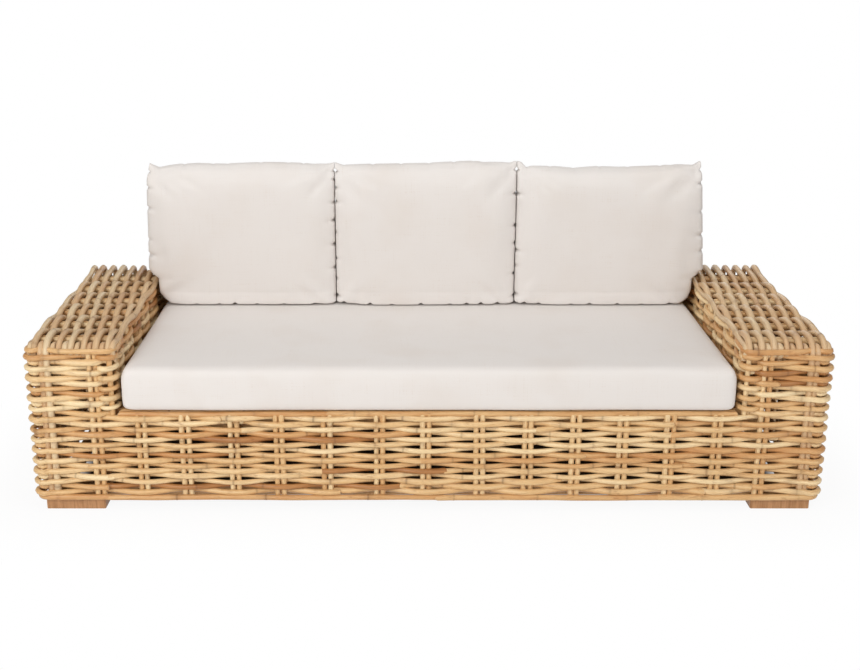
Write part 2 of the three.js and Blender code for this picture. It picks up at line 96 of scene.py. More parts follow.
class SofaWeave(bpy.types.PropertyGroup):
    """Sizes of the canes and of the way they are woven."""

    cane_diameter: length("Cane", "Mean diameter of the woven canes", 17.2 * MM)
    stake_diameter: length("Stake", "Mean diameter of the upright stakes", 16.2 * MM)
    stake_gap: length("Stake gap", "From the middle of one stake of a pair to the other", 19.5 * MM)
    row_pitch: length("Row pitch", "Height from one row to the next", 16.75 * MM)
    swing: length("Swing", "How far a row passes in front of or behind the stakes", 10.5 * MM)
    corner_radius: length("Corner radius", "Plan radius of the line of stakes at a corner", 18 * MM)
    top_pitch: length("Arm top pitch", "From one cane to the next across an arm top", 18 * MM)
    top_swing: length("Top swing", "How far a top cane passes above or below the cross stakes", 15 * MM)
    front_bend: length("Front bend", "Radius at which the top canes turn down at the front", 40 * MM)
    rear_bend: length("Rear bend", "Radius at which the top canes turn down at the rear", 14 * MM)
    shortest: length("Shortest cane", "Least length of one cane in a row", 0.55)
    longest: length("Longest cane", "Greatest length of one cane in a row", 1.25)
    step: length("Step", "Length of one straight piece of a cane's line", 12 * MM)
    top_thickness: bpy.props.FloatProperty(
        name="Top thickness", description="How many times as thick as the others the canes of the tops are",
        default=1.12, min=0.5, max=1.5,
    )
    sides: bpy.props.IntProperty(name="Sides", description="Faces round a cane", default=10, min=6, max=16)
    seed: bpy.props.IntProperty(name="Seed", description="Start of the random draws", default=7)


class SofaCushions(bpy.types.PropertyGroup):
    """Shape of the cushions' covers and fillings."""

    slack: length("Slack", "How much smaller a back cover starts than the space it fills", 0.5 * MM)
    back_detail: length("Back detail", "Size of the faces of a back cushion before smoothing", 6.5 * MM)
    seat_detail: length("Seat detail", "Size of the faces of the seat cushion before smoothing", 12 * MM)
    reach: length("Reach", "Most that the filling may move a back cover", 7 * MM)
    seat_reach: length("Seat reach", "Most that the filling may move the seat cover", 5 * MM)
    seam_edge: length("Seam edge", "Thickness of a back cushion at its sides", 80 * MM)
    pucker: length("Pucker", "How deep a stitch pulls the seam in", 10 * MM)
    low_corner: length("Lower corner", "Radius of the back cushions' lower corners by the arms", 46 * MM)
    inner_corner: length("Inner corner", "Radius of the lower corners between back cushions", 10 * MM)
    ear: length("Ear", "How far a back cushion's corners stand out", 9 * MM)
    seat_edge: length("Seat edge", "Radius of the seat cushion's edges", 26 * MM)
    pressure: bpy.props.FloatProperty(
        name="Filling", description="Pressure of the filling on its cover", default=4.0
    )
    frames: bpy.props.IntProperty(
        name="Frames", description="Steps of the filling", default=20, min=2, max=60
    )


class SofaColours(bpy.types.PropertyGroup):
    """Colours of the finishes, as sRGB hex values."""

    straw: colour("Straw", "Palest cane", "#f0d8ab")
    honey: colour("Honey", "Common cane", "#dcb47e")
    tan: colour("Tan", "Darker cane", "#c48c54")
    brown: colour("Brown", "Stained cane", "#96602f")
    stain: colour("Stain", "Reddish stains on the canes", "#8f5528")
    # Painted shade: this darker, greyer colour is mixed only into the canes of the tops, standing in for the
    # shade on their top faces
    painted_top_shade: colour("Top shade", "Cane greyed by the sun", "#b39c88")
    knuckle: colour("Knuckle", "Rings round the canes", "#6d4320")
    pith: colour("Pith", "Freshly cut end of a cane", "#efdcb8")
    timber: colour("Timber", "Inner frame", "#c9a06e")
    timber_grain: colour("Timber grain", "Growth rings of the inner frame", "#a87b4c")
    foot: colour("Foot", "Sawn feet", "#c8976a")
    foot_grain: colour("Foot grain", "Growth rings of the feet", "#9a6b41")
    linen: colour("Linen", "Cushion covers", "#ded8d3")
    linen_shade: colour("Linen shade", "Hollows and warm marks of the covers", "#d3c7bc")
    steel: colour("Steel", "Zinc plated screws", "#b9bcc0")
    floor: colour("Floor", "Studio floor", "#f4f4f4")
    # Painted shade: this dark colour is laid on the floor under the sofa, where there is only shade
    painted_shade_under_sofa: colour("Shade under sofa", "Floor under the sofa", "#5c534b")


class SofaStage(bpy.types.PropertyGroup):
    """The camera's place and lens, and the level of the lamps."""

    camera_place: bpy.props.FloatVectorProperty(
        name="Camera", description="Where the camera stands", default=(-0.0747, -3.982, 1.674), unit="LENGTH"
    )
    camera_pitch: bpy.props.FloatProperty(
        name="Pitch", description="How far the camera looks down", default=math.radians(17.53),
        unit="ROTATION",
    )
    lens: bpy.props.FloatProperty(
        name="Lens", description="Focal length in mm on a 36 mm sensor", default=53.76
    )
    shift: bpy.props.FloatProperty(name="Shift", description="Sideways shift of the lens", default=0.031)
    key: bpy.props.FloatProperty(name="Key", description="Strength of the soft lights", default=0.30)
    ambient: bpy.props.FloatProperty(
        name="Ambient", description="Strength of the light from all round", default=0.30
    )


def linear(hex_colour):
    """An sRGB hex colour as linear red, green, blue and alpha."""
    parts = [int(hex_colour[i : i + 2], 16) / 255 for i in (1, 3, 5)]
    return [c / 12.92 if c <= 0.04045 else ((c + 0.055) / 1.055) ** 2.4 for c in parts] + [1.0]


def add_node(tree, kind, links=None, settings=None, stops=(), **fields):
    """A node of that kind.

    Fields are its own settings, settings fill its sockets, and links join them to a socket or to a
    node's first output. Stops are the places and hex colours of a ramp.
    """
    node = tree.nodes.new(kind)
    for name, value in fields.items():
        setattr(node, name, value)
    for socket, value in (settings or {}).items():
        node.inputs[socket].default_value = value
    for socket, source in (links or {}).items():
        source = source.outputs[0] if isinstance(source, bpy.types.Node) else source
        tree.links.new(source, node.inputs[socket])
    for _ in stops[2:]:
        node.color_ramp.elements.new(0.5)
    for k, (place, hex_colour) in enumerate(stops):
        node.color_ramp.elements[k].position = place
        node.color_ramp.elements[k].color = linear(hex_colour)
    return node


def new_material(name):
    """An empty material and its node tree."""
    material = bpy.data.materials.new(name)
    material.use_nodes = True
    material.node_tree.nodes.clear()
    return material, material.node_tree


def rattan(name, colours, greyed):
    """Peeled rattan cane, sanded and clear oiled: fine fibre streaks, dark knuckle rings, pale cut ends, and
    a greyed share of painted shade that darkens the tops.
    """
    material, tree = new_material(name)
    along, tone, knuckle, cut = (
        add_node(tree, "ShaderNodeAttribute", attribute_name=mark).outputs["Fac"]
        for mark in ("along", "tone", "knuckle", "cut")
    )
    around = add_node(tree, "ShaderNodeAttribute", attribute_name="around").outputs["Vector"]
    around = add_node(tree, "ShaderNodeSeparateXYZ", {"Vector": around}).outputs

    def pattern(per_metre, **settings):
        """A pattern that goes round the cane and along it. One unit round the cane is its radius."""
        run = add_node(tree, "ShaderNodeMath", {0: along}, {1: per_metre}, operation="MULTIPLY")
        place = add_node(tree, "ShaderNodeCombineXYZ", {"X": around["X"], "Y": around["Y"], "Z": run})
        return add_node(tree, "ShaderNodeTexNoise", {"Vector": place}, settings)

    # Fibres run about 60 mm before they change, sun marks 120 mm, and reddish stains 10 to 40 mm
    fibres = pattern(2.8, Scale=6.0, Detail=3.0, Roughness=0.6)
    marks = pattern(9.0, Scale=0.9, Detail=2.0, Roughness=0.5)
    stains = pattern(26.0, Scale=1.1, Detail=3.0, Roughness=0.65)
    streaks = pattern(2.8, Scale=17.0, Detail=1.0, Roughness=0.5)
    level = add_node(tree, "ShaderNodeMath", {0: marks, 2: tone}, {1: 0.55}, operation="MULTIPLY_ADD")
    level = add_node(tree, "ShaderNodeMath", {0: fibres, 2: level}, {1: 0.30}, operation="MULTIPLY_ADD")
    level = add_node(tree, "ShaderNodeMath", {0: level}, {1: 0.425}, operation="SUBTRACT")
    tones = ((0.0, colours.straw), (0.38, colours.honey), (0.72, colours.tan), (1.0, colours.brown))
    skin = add_node(tree, "ShaderNodeValToRGB", {"Fac": level}, stops=tones)
    stained, streaked = (
        add_node(
            tree, "ShaderNodeMapRange", {"Value": source},
            {"From Min": 0.56, "From Max": 0.78, "To Max": most},
        )
        for source, most in ((stains, 0.72), (streaks, 0.5))
    )
    # Painted shade: a share of the darker, greyer top colour, none on the walls and some on the tops, darkens
    # the top faces
    top_shade_share = add_node(tree, "ShaderNodeValue")
    top_shade_share.outputs[0].default_value = greyed
    ringed = add_node(tree, "ShaderNodeMath", {0: knuckle}, {1: 0.62}, operation="MULTIPLY")
    for share, over in (
        (stained, colours.stain), (streaked, colours.brown), (top_shade_share, colours.painted_top_shade),
        (ringed, colours.knuckle), (cut, colours.pith),
    ):
        skin = add_node(
            tree, "ShaderNodeMix", {0: share, 6: skin}, {7: linear(over)}, data_type="RGBA"
        ).outputs[2]
    gloss = add_node(tree, "ShaderNodeMapRange", {"Value": fibres}, {"To Min": 0.34, "To Max": 0.52})
    relief = add_node(tree, "ShaderNodeBump", {"Height": fibres}, {"Strength": 0.25, "Distance": 0.5 * MM})
    shader = add_node(
        tree, "ShaderNodeBsdfPrincipled", {"Base Color": skin, "Roughness": gloss, "Normal": relief},
        {"IOR": 1.48},
    )
    add_node(tree, "ShaderNodeOutputMaterial", {"Surface": shader})
    return material


def sweep_tree(sides):
    """The node tree that turns a line with a girth at each point into a closed cane."""
    tree = bpy.data.node_groups.new("cane_sweep", "GeometryNodeTree")
    for way in ("INPUT", "OUTPUT"):
        tree.interface.new_socket("Geometry", in_out=way, socket_type="NodeSocketGeometry")
    girth, around, slant = (
        add_node(tree, "GeometryNodeInputNamedAttribute", None, {"Name": mark}, data_type=kind)
        for mark, kind in (("girth", "FLOAT"), ("around", "FLOAT_VECTOR"), ("slant", "FLOAT_VECTOR"))
    )
    curves = add_node(tree, "GeometryNodeMeshToCurve", {"Mesh": add_node(tree, "NodeGroupInput")})
    ring = add_node(tree, "GeometryNodeCurvePrimitiveCircle", None, {"Resolution": sides, "Radius": 1.0})
    place = add_node(tree, "GeometryNodeInputPosition")
    section = add_node(
        tree, "GeometryNodeStoreNamedAttribute", {"Geometry": ring, "Value": place}, {"Name": "around"},
        data_type="FLOAT_VECTOR", domain="POINT",
    )
    cane = add_node(
        tree, "GeometryNodeCurveToMesh", {"Curve": curves, "Profile Curve": section, "Scale": girth},
        {"Fill Caps": True},
    )
    side = add_node(tree, "ShaderNodeSeparateXYZ", {"Vector": around})
    slant = add_node(tree, "ShaderNodeVectorMath", {"Vector": slant, "Scale": side}, operation="SCALE")
    cut = add_node(tree, "GeometryNodeSetPosition", {"Geometry": cane, "Offset": slant})
    add_node(tree, "NodeGroupOutput", {0: cut})
    return tree


def placed(name, data):
    """A new object of that data, put in the scene."""
    made = bpy.data.objects.new(name, data)
    bpy.context.scene.collection.objects.link(made)
    return made


def evaluated(piece):
    """A new mesh of what the piece's modifiers make of it."""
    graph = bpy.context.evaluated_depsgraph_get()
    return bpy.data.meshes.new_from_object(piece.evaluated_get(graph), depsgraph=graph)


def clipped(values):
    return np.clip(values, 0, 1)


def eased(s, knots):
    """A smooth value through (distance, value) knots."""
    places, values = np.array(knots).T
    i = np.clip(np.searchsorted(places, s, side="right") - 1, 0, len(places) - 2)
    t = clipped((s - places[i]) / (places[i + 1] - places[i]))
    return values[i] + (values[i + 1] - values[i]) * (1 - np.cos(math.pi * t)) / 2


class Route:
    """A line through corner points in a plane, rounded at each. Outward is on the right of its run."""

    # Length of its straight pieces
    SAMPLE = 2 * MM
    # How far a row stays outside or inside on either side of a pair of stakes
    HOLD = 7 * MM
    # The farthest pair from a corner that holds its rows round it, and how far past the corner they are held
    CORNER_REACH = 90 * MM
    CORNER_HOLD = 4 * MM
    # How far beside a corner its canes need more points, and its rows ease out and in
    TURN_MARGIN = 10 * MM
    EASE_BEFORE = 14 * MM
    EASE_AFTER = 4 * MM

    def __init__(self, corners, leg_names, radius, closed):
        points = [np.array(p, float) for p in corners]
        count = len(points)
        radii = np.broadcast_to(radius, count)
        line, legs, arcs = [], [], []
        for i in range(count if closed else count - 1):
            start, end = points[i], points[(i + 1) % count]
            run = (end - start) / np.linalg.norm(end - start)
            first = start + run * radii[i] if closed or i > 0 else start
            turns = closed or i < count - 2
            bend = radii[(i + 1) % count]
            last = end - run * bend if turns else end
            steps = max(2, int(np.linalg.norm(last - first) / self.SAMPLE))
            line += [first + (last - first) * t for t in np.linspace(0, 1, steps, endpoint=False)]
            legs += [leg_names[i]] * steps
            if turns:
                after = points[(i + 2) % count]
                turned = (after - end) / np.linalg.norm(after - end)
                centre = last + turned * bend
                arc = max(4, int(bend * math.pi / 2 / self.SAMPLE))
                arcs.append((len(line), len(line) + arc))
                for a in np.linspace(0, math.pi / 2, arc, endpoint=False):
                    line.append(centre - turned * bend * math.cos(a) + run * bend * math.sin(a))
                    legs.append(leg_names[i] if a < math.pi / 4 else leg_names[(i + 1) % len(leg_names)])
            else:
                line.append(end)
                legs.append(leg_names[i])
        self.closed = closed
        if closed:
            line.append(line[0])
            legs.append(legs[0])
        self.points = np.array(line)
        self.legs = legs
        steps = np.linalg.norm(np.diff(self.points, axis=0), axis=1)
        self.run = np.concatenate([[0], np.cumsum(steps)])
        self.length = self.run[-1]
        self.arcs = [(self.run[a], self.run[b]) for a, b in arcs]
        tangent = np.gradient(self.points, self.run, axis=0)
        if closed:
            tangent[0] = tangent[-1] = self.points[1] - self.points[-2]
        tangent /= np.linalg.norm(tangent, axis=1)[:, None]
        self.outward = np.stack([tangent[:, 1], -tangent[:, 0]], axis=1)
        self.pairs = np.array([])
        self.holds = np.zeros((2, 0))

    def wrap(self, s):
        return np.mod(s, self.length) if self.closed else np.clip(s, 0, self.length)

    def at(self, s):
        """Points of the plane and outward directions at the distances s."""
        s = self.wrap(s)
        place, outward = (
            np.stack([np.interp(s, self.run, table[:, k]) for k in range(2)], axis=1)
            for table in (self.points, self.outward)
        )
        return place, outward / np.linalg.norm(outward, axis=1)[:, None]

    def leg(self, s):
        return self.legs[int(np.searchsorted(self.run, float(self.wrap(s)))) % len(self.legs)]

    def turns(self, s):
        """Where the route is rounding a corner."""
        s = self.wrap(s)
        turning = np.zeros(len(s), bool)
        for start, end in self.arcs:
            turning |= (s > start - self.TURN_MARGIN) & (s < end + self.TURN_MARGIN)
        return turning

    def cornered(self, s):
        """1 on an outer corner of the sofa, easing to 0 beside it."""
        s = self.wrap(s)
        share = np.zeros(len(s))
        for start, end in self.arcs:
            if abs(self.at(np.array([start]))[0][0, 0]) > half_width - 0.1:
                reach = [start - self.EASE_BEFORE, start + self.EASE_AFTER]
                reach += [end - self.EASE_AFTER, end + self.EASE_BEFORE]
                share = np.maximum(share, np.interp(s, reach, [0.0, 1.0, 1.0, 0.0]))
        return share

    def nearest(self, x, y):
        return float(self.run[np.argmin(np.hypot(self.points[:, 0] - x, self.points[:, 1] - y))])

    def stake(self, places):
        """Puts a pair of stakes nearest to each place. One by a corner holds its rows round it."""
        self.pairs = np.array(sorted({round(self.nearest(x, y), 5) for x, y in places}))
        self.holds = np.full((2, len(self.pairs)), self.HOLD)
        for start, end in self.arcs:
            apart = self.pairs - (start + end) / 2
            if self.closed:
                apart = np.mod(apart + self.length / 2, self.length) - self.length / 2
            k = int(np.argmin(np.abs(apart)))
            half = (end - start) / 2
            if abs(apart[k]) > self.CORNER_REACH:
                continue
            if apart[k] > -half:
                self.holds[0][k] = half + apart[k] + self.CORNER_HOLD
            if apart[k] < half:
                self.holds[1][k] = half - apart[k] + self.CORNER_HOLD

    def phase(self, place, row):
        """The phase at which an odd row passes outside the pair of stakes at that place."""
        return (row + int(np.argmin(np.abs(self.pairs - self.nearest(*place))))) % 2

    def swing(self, s, phase):
        """1 where a row passes outside a pair of stakes, -1 where it passes inside, smooth between."""
        # An open route is taken to have one more pair, 1 m past each end
        lead = self.pairs[-1] - self.length if self.closed else self.pairs[0] - 1.0
        follow = self.pairs[0] + self.length if self.closed else self.pairs[-1] + 1.0
        pairs = np.concatenate([[lead], self.pairs, [follow]])
        holds = np.concatenate([self.holds[:, -1:], self.holds, self.holds[:, :1]], axis=1)
        if self.closed:
            s = self.wrap(s)
        k = np.clip(np.searchsorted(pairs, s, side="right") - 1, 0, len(pairs) - 2)
        left, right = pairs[k] + holds[1][k], pairs[k + 1] - holds[0][k + 1]
        sign = np.where((k + phase) % 2 == 0, 1.0, -1.0)
        return sign * np.cos(math.pi * clipped((s - left) / (right - left)))


class CaneLines:
    """Gathers the lines of many canes, each point with its girth and marks, for one sweep."""

    # The end of a cane from its cut face inward: how far out, and the shares of its girth and of its slant
    END = ((2.2 * MM, 0.78, 1.0), (1.6 * MM, 0.93, 0.9), (0.8 * MM, 0.99, 0.8))

    def __init__(self):
        self.points, self.edges, self.marks = [], [], {}

    def add(self, points, girth, tone, start, knuckles, slants):
        """One cane along those points, ended by a small chamfer and a cut face."""
        out, narrowed, slanting = (np.array(column) for column in zip(*self.END))
        ways = [points[0] - points[1], points[-1] - points[-2]]
        ways = [way / np.linalg.norm(way) for way in ways]
        head = points[0] + ways[0] * out[:, None]
        tail = points[-1] + ways[1] * out[::-1, None]
        line = np.concatenate([head, points, tail])
        run = np.concatenate([[0], np.cumsum(np.linalg.norm(np.diff(line, axis=0), axis=1))])
        blank = np.zeros(len(out))
        cut = np.zeros(len(line))
        cut[0] = cut[-1] = 1.0
        slant = np.zeros((len(line), 3))
        slant[: len(out)] = ways[0] * slants[0] * slanting[:, None]
        slant[-len(out) :] = ways[1] * slants[1] * slanting[::-1, None]
        first = sum(len(p) for p in self.points)
        self.points.append(line)
        self.edges += [(first + i, first + i + 1) for i in range(len(line) - 1)]
        marks = {
            "girth": np.concatenate([girth[0] * narrowed, girth, girth[-1] * narrowed[::-1]]),
            "along": start + run,
            "tone": np.full(len(line), tone),
            "knuckle": np.concatenate([blank, knuckles, blank]),
            "cut": cut,
            "slant": slant,
        }
        for mark, values in marks.items():
            self.marks.setdefault(mark, []).append(values)

    def build(self, name, tree, material):
        """The canes as one mesh object."""
        mesh = bpy.data.meshes.new(name + "_lines")
        mesh.from_pydata(np.concatenate(self.points), self.edges, [])
        for mark, values in self.marks.items():
            vector = mark == "slant"
            layer = mesh.attributes.new(mark, "FLOAT_VECTOR" if vector else "FLOAT", "POINT")
            layer.data.foreach_set("vector" if vector else "value", np.concatenate(values).ravel())
        line = placed(name + "_lines", mesh)
        line.modifiers.new("sweep", "NODES").node_group = tree
        made = evaluated(line)
        bpy.data.objects.remove(line)
        made.name = name
        for spare in ("slant", "girth"):
            made.attributes.remove(made.attributes[spare])
        corners = np.zeros(len(made.polygons), np.int32)
        made.polygons.foreach_get("loop_total", corners)
        made.polygons.foreach_set("use_smooth", corners == 4)
        made.materials.append(material)
        return placed(name, made)


class Weaver:
    """Draws canes from one seeded source, so that each run gives the same weave."""

    TONES = ((0.02, 0.22), (0.20, 0.48), (0.42, 0.62), (0.62, 0.90))
    TONE_SHARES = (0.26, 0.44, 0.20, 0.10)
    STAKE_TONE = (0.10, 0.50)
    # Metres from a cane's start to its first knuckle, from one to the next, and from the last to the end
    FIRST_KNUCKLE = (0.03, 0.25)
    NEXT_KNUCKLE = (0.17, 0.36)
    LAST_KNUCKLE = 0.02
    # Half the width of a knuckle's ring, of its swelling, and of the stretch round it without other points
    RING_HALF = 1.1 * MM
    SWELL_HALF = 4.5 * MM
    CLEAR_HALF = 6.5 * MM
    # How a cane's girth changes: by its taper, by a wave of that length, and at its knuckles
    TAPER = 0.11
    GIRTH_WAVE, GIRTH_WAVE_LENGTH = 0.03, 0.16
    KNUCKLE_SWELL = 0.045
    # How dark the stain round a knuckle is and how far it runs
    HALO, HALO_LENGTH = 0.45, 15 * MM
    # How far cut ends slant, in radii, and how common each is
    SLANTS = (0.0, 0.5, 1.1)
    SLANT_SHARES = (0.5, 0.3, 0.2)
    # Least, common and greatest change of a cane's radius, and the greatest of a stake's
    GIRTHS = (-0.20, 0.02, 0.12)
    STAKE_GIRTH = 0.05
    # A row's joints: their play beside a pair of stakes, and the least share of a shortest cane at its end
    JOINT_PLAY = 40
    LAST_SHARE = 0.6
    # How common laps are, their length, how they ease out, and how deep they lie in diameters
    LAP_SHARE, LAP, LAP_EASE, LAP_DEPTH = 0.4, 26 * MM, 70 * MM, 0.8
    # Height and length of a row's waves, and how far one cane of it lies higher or lower
    ROW_SWAY = (1.3 * MM, 0.45)
    ROW_DROP = 0.8 * MM
    # How much farther out the rows pass outside and inside an outer corner's stakes
    CORNER_OUT, CORNER_IN = 9 * MM, 19 * MM
    # How far a stake leans and bows, and the length of its bow
    LEAN = 0.9 * MM
    BOW = (0.7 * MM, 0.4)

    def __init__(self, sizes, seed):
        self.sizes = sizes
        self.random = np.random.default_rng(seed)
        self.lines = {}

    def wander(self, size, length):
        """A smooth random wave of that height and typical length."""
        waves = [
            (size * self.random.uniform(0.4, 0.8), length * self.random.uniform(0.6, 1.9),
             self.random.uniform(0, 2 * math.pi))
            for _ in range(3)
        ]
        return lambda s: sum(a * np.sin(2 * math.pi * s / w + p) for a, w, p in waves)

    def tone(self):
        low, high = self.TONES[self.random.choice(len(self.TONES), p=self.TONE_SHARES)]
        return self.random.uniform(low, high)

    def cane(self, piece, path, start, end, radius, dense=None, slanted=True, tone=None):
        """Adds one cane to a piece, along path(s) from start to end, with more points where it is dense."""
        rnd = self.random
        s = np.linspace(start, end, max(3, int((end - start) / self.sizes.step) + 1))
        if dense is not None:
            middle = (s[1:] + s[:-1]) / 2
            s = np.sort(np.concatenate([s, middle[dense(middle)]]))
        knuckles = []
        at = start + rnd.uniform(*self.FIRST_KNUCKLE)
        while at < end - self.LAST_KNUCKLE:
            knuckles.append(at)
            at += rnd.uniform(*self.NEXT_KNUCKLE)

        def from_knuckle(s):
            # A cane without knuckles is taken to be 1 m from the next one
            return np.min(np.abs(s[:, None] - np.array(knuckles or [end + 1.0])), axis=1)

        edges = (-self.SWELL_HALF, -self.RING_HALF, self.RING_HALF, self.SWELL_HALF)
        marks = np.array([knuckle + d for knuckle in knuckles for d in edges])
        s = np.sort(np.concatenate([s[from_knuckle(s) > self.CLEAR_HALF], marks]))
        near = from_knuckle(s)
        ring = (near < (self.RING_HALF + self.SWELL_HALF) / 2).astype(float)
        taper = rnd.uniform(-self.TAPER, self.TAPER)
        wave = self.wander(1.0, self.GIRTH_WAVE_LENGTH)
        girth = radius * (1 + taper * (s - start) / (end - start)) * (1 + self.GIRTH_WAVE * wave(s))
        girth = girth * (1 + self.KNUCKLE_SWELL * ring)
        strength = rnd.uniform(0.35, 1.0)
        slants = [radius * rnd.choice(self.SLANTS, p=self.SLANT_SHARES) * slanted for _ in range(2)]
        halo = self.HALO * np.exp(-((near / self.HALO_LENGTH) ** 2)) * rnd.uniform(0.2, 1.0)
        self.lines.setdefault(piece, CaneLines()).add(
            path(s), girth, self.tone() if tone is None else rnd.uniform(*tone), rnd.uniform(0, 40),
            np.maximum(ring * strength, halo), slants,
        )

    def cane_radius(self):
        return self.sizes.cane_diameter / 2 * (1 + self.random.triangular(*self.GIRTHS))

    def joints(self, start, end, pairs):
        """Where one cane of a row ends and the next begins, near the stakes, between start and end."""
        sizes = self.sizes
        found, at = [start], start
        while at < end:
            at += self.random.uniform(sizes.shortest, sizes.longest)
            if end - at < sizes.shortest * self.LAST_SHARE:
                break
            near = pairs[np.argmin(np.abs(pairs - at))] if len(pairs) else at
            at = near + self.random.uniform(-self.JOINT_PLAY, self.JOINT_PLAY) * MM
            found.append(at)
        return found + [end]

    def row(self, route, height, phase=0, piece=None, lift=None, offset=None, tone=None):
        """One row of canes along a route, woven through its stakes or, with offset, laid beside them."""
        sizes, rnd = self.sizes, self.random
        sway = self.wander(*self.ROW_SWAY)
        start, end, pairs = 0.0, route.length, route.pairs
        if route.closed:
            start = rnd.uniform(0, route.length)
            end = start + route.length
            pairs = np.concatenate([route.pairs, route.pairs + route.length])
        joints = self.joints(start, end, pairs)
        for s0, s1 in zip(joints, joints[1:]):
            lap = rnd.random() < self.LAP_SHARE and s0 > joints[0]
            begin = s0 - self.LAP if lap else s0 + rnd.uniform(0.3, 1.2) * MM
            drop = rnd.normal(0, self.ROW_DROP)
            radius = self.cane_radius()

            def path(s, lap=lap, begin=begin, drop=drop):
                plan, outward = route.at(s)
                if offset:
                    aside = np.broadcast_to(offset(s), len(s))
                else:
                    aside = sizes.swing * route.swing(s, phase)
                    corner = route.cornered(s)
                    farther = np.where(aside > 0, self.CORNER_OUT * corner, self.CORNER_IN * corner ** 3)
                    aside = aside + farther
                if lap:
                    ease = clipped((s - begin) / self.LAP_EASE)
                    depth = sizes.cane_diameter * self.LAP_DEPTH
                    aside = aside - depth * (1 - ease * ease * (3 - 2 * ease))
                plan = plan + outward * aside[:, None]
                z = height + sway(s) + drop + (lift(s) if lift else 0)
                return np.column_stack([plan, np.broadcast_to(z, len(s))])

            on = piece or route.leg((s0 + s1) / 2) + "_canes"
            self.cane(on, path, begin, s1 - 1 * MM, radius, route.turns, tone=tone)

    def stakes(self, piece, route, places, low, high, single=False):
        """Upright stakes, in pairs unless single, at those places of the route."""
        sizes, rnd = self.sizes, self.random
        for x, y in places:
            middle = route.nearest(x, y)
            for side in (0,) if single else (-0.5, 0.5):
                plan = route.at(np.array([middle + side * sizes.stake_gap]))[0][0]
                lean = rnd.normal(0, self.LEAN, 2)
                bow = self.wander(*self.BOW)
                radius = sizes.stake_diameter / 2 * (1 + rnd.uniform(-self.STAKE_GIRTH, self.STAKE_GIRTH))

                def path(z, plan=plan, lean=lean, bow=bow):
                    t = (z - low) / (high - low) - 0.5
                    return np.column_stack([plan[0] + lean[0] * t + bow(z), plan[1] + lean[1] * t, z])

                self.cane(piece, path, low, high, radius, slanted=False, tone=self.STAKE_TONE)


# Places of the stake pairs across the front, from the middle of the sofa
FRONT_PAIRS = (
    -1.131, -0.984, -0.853, -0.722, -0.579, -0.445, -0.302, -0.147, -0.008,
    0.153, 0.296, 0.439, 0.579, 0.719, 0.858, 0.993, 1.137,
)
# Places of the stake pairs from front to rear. They bend over and cross the arm tops.
END_PAIRS = {
    "left": (-0.355, -0.208, -0.080, 0.050, 0.195, 0.325),
    "right": (-0.372, -0.232, -0.098, 0.038, 0.170, 0.325),
}
REAR_PAIRS = 17
# Rows, counted from the ground: the last all round, the first round arms and back, the arms' border,
# the first that goes round the back's ends, and the back's top
RIM_ROW = 15
DECK_ROW = 18
BORDER_ROW = 28
BACK_LOOP_ROW = 31
BACK_TOP_ROW = 42
# How much closer to each other the rows lie above the rim
CLOSER = 0.9 * MM
# How far each arm's border lies above its row
BORDER_RISE = {"left": 6.5 * MM, "right": 2 * MM}
# How far behind the front a row that ends there is tucked in
TUCK = 30 * MM


def together(table):
    """The left side's places and the right side's in one list."""
    return table["left"] + table["right"]


def between_arms(places):
    return [p for p in places if abs(p[0]) < arm_inside]


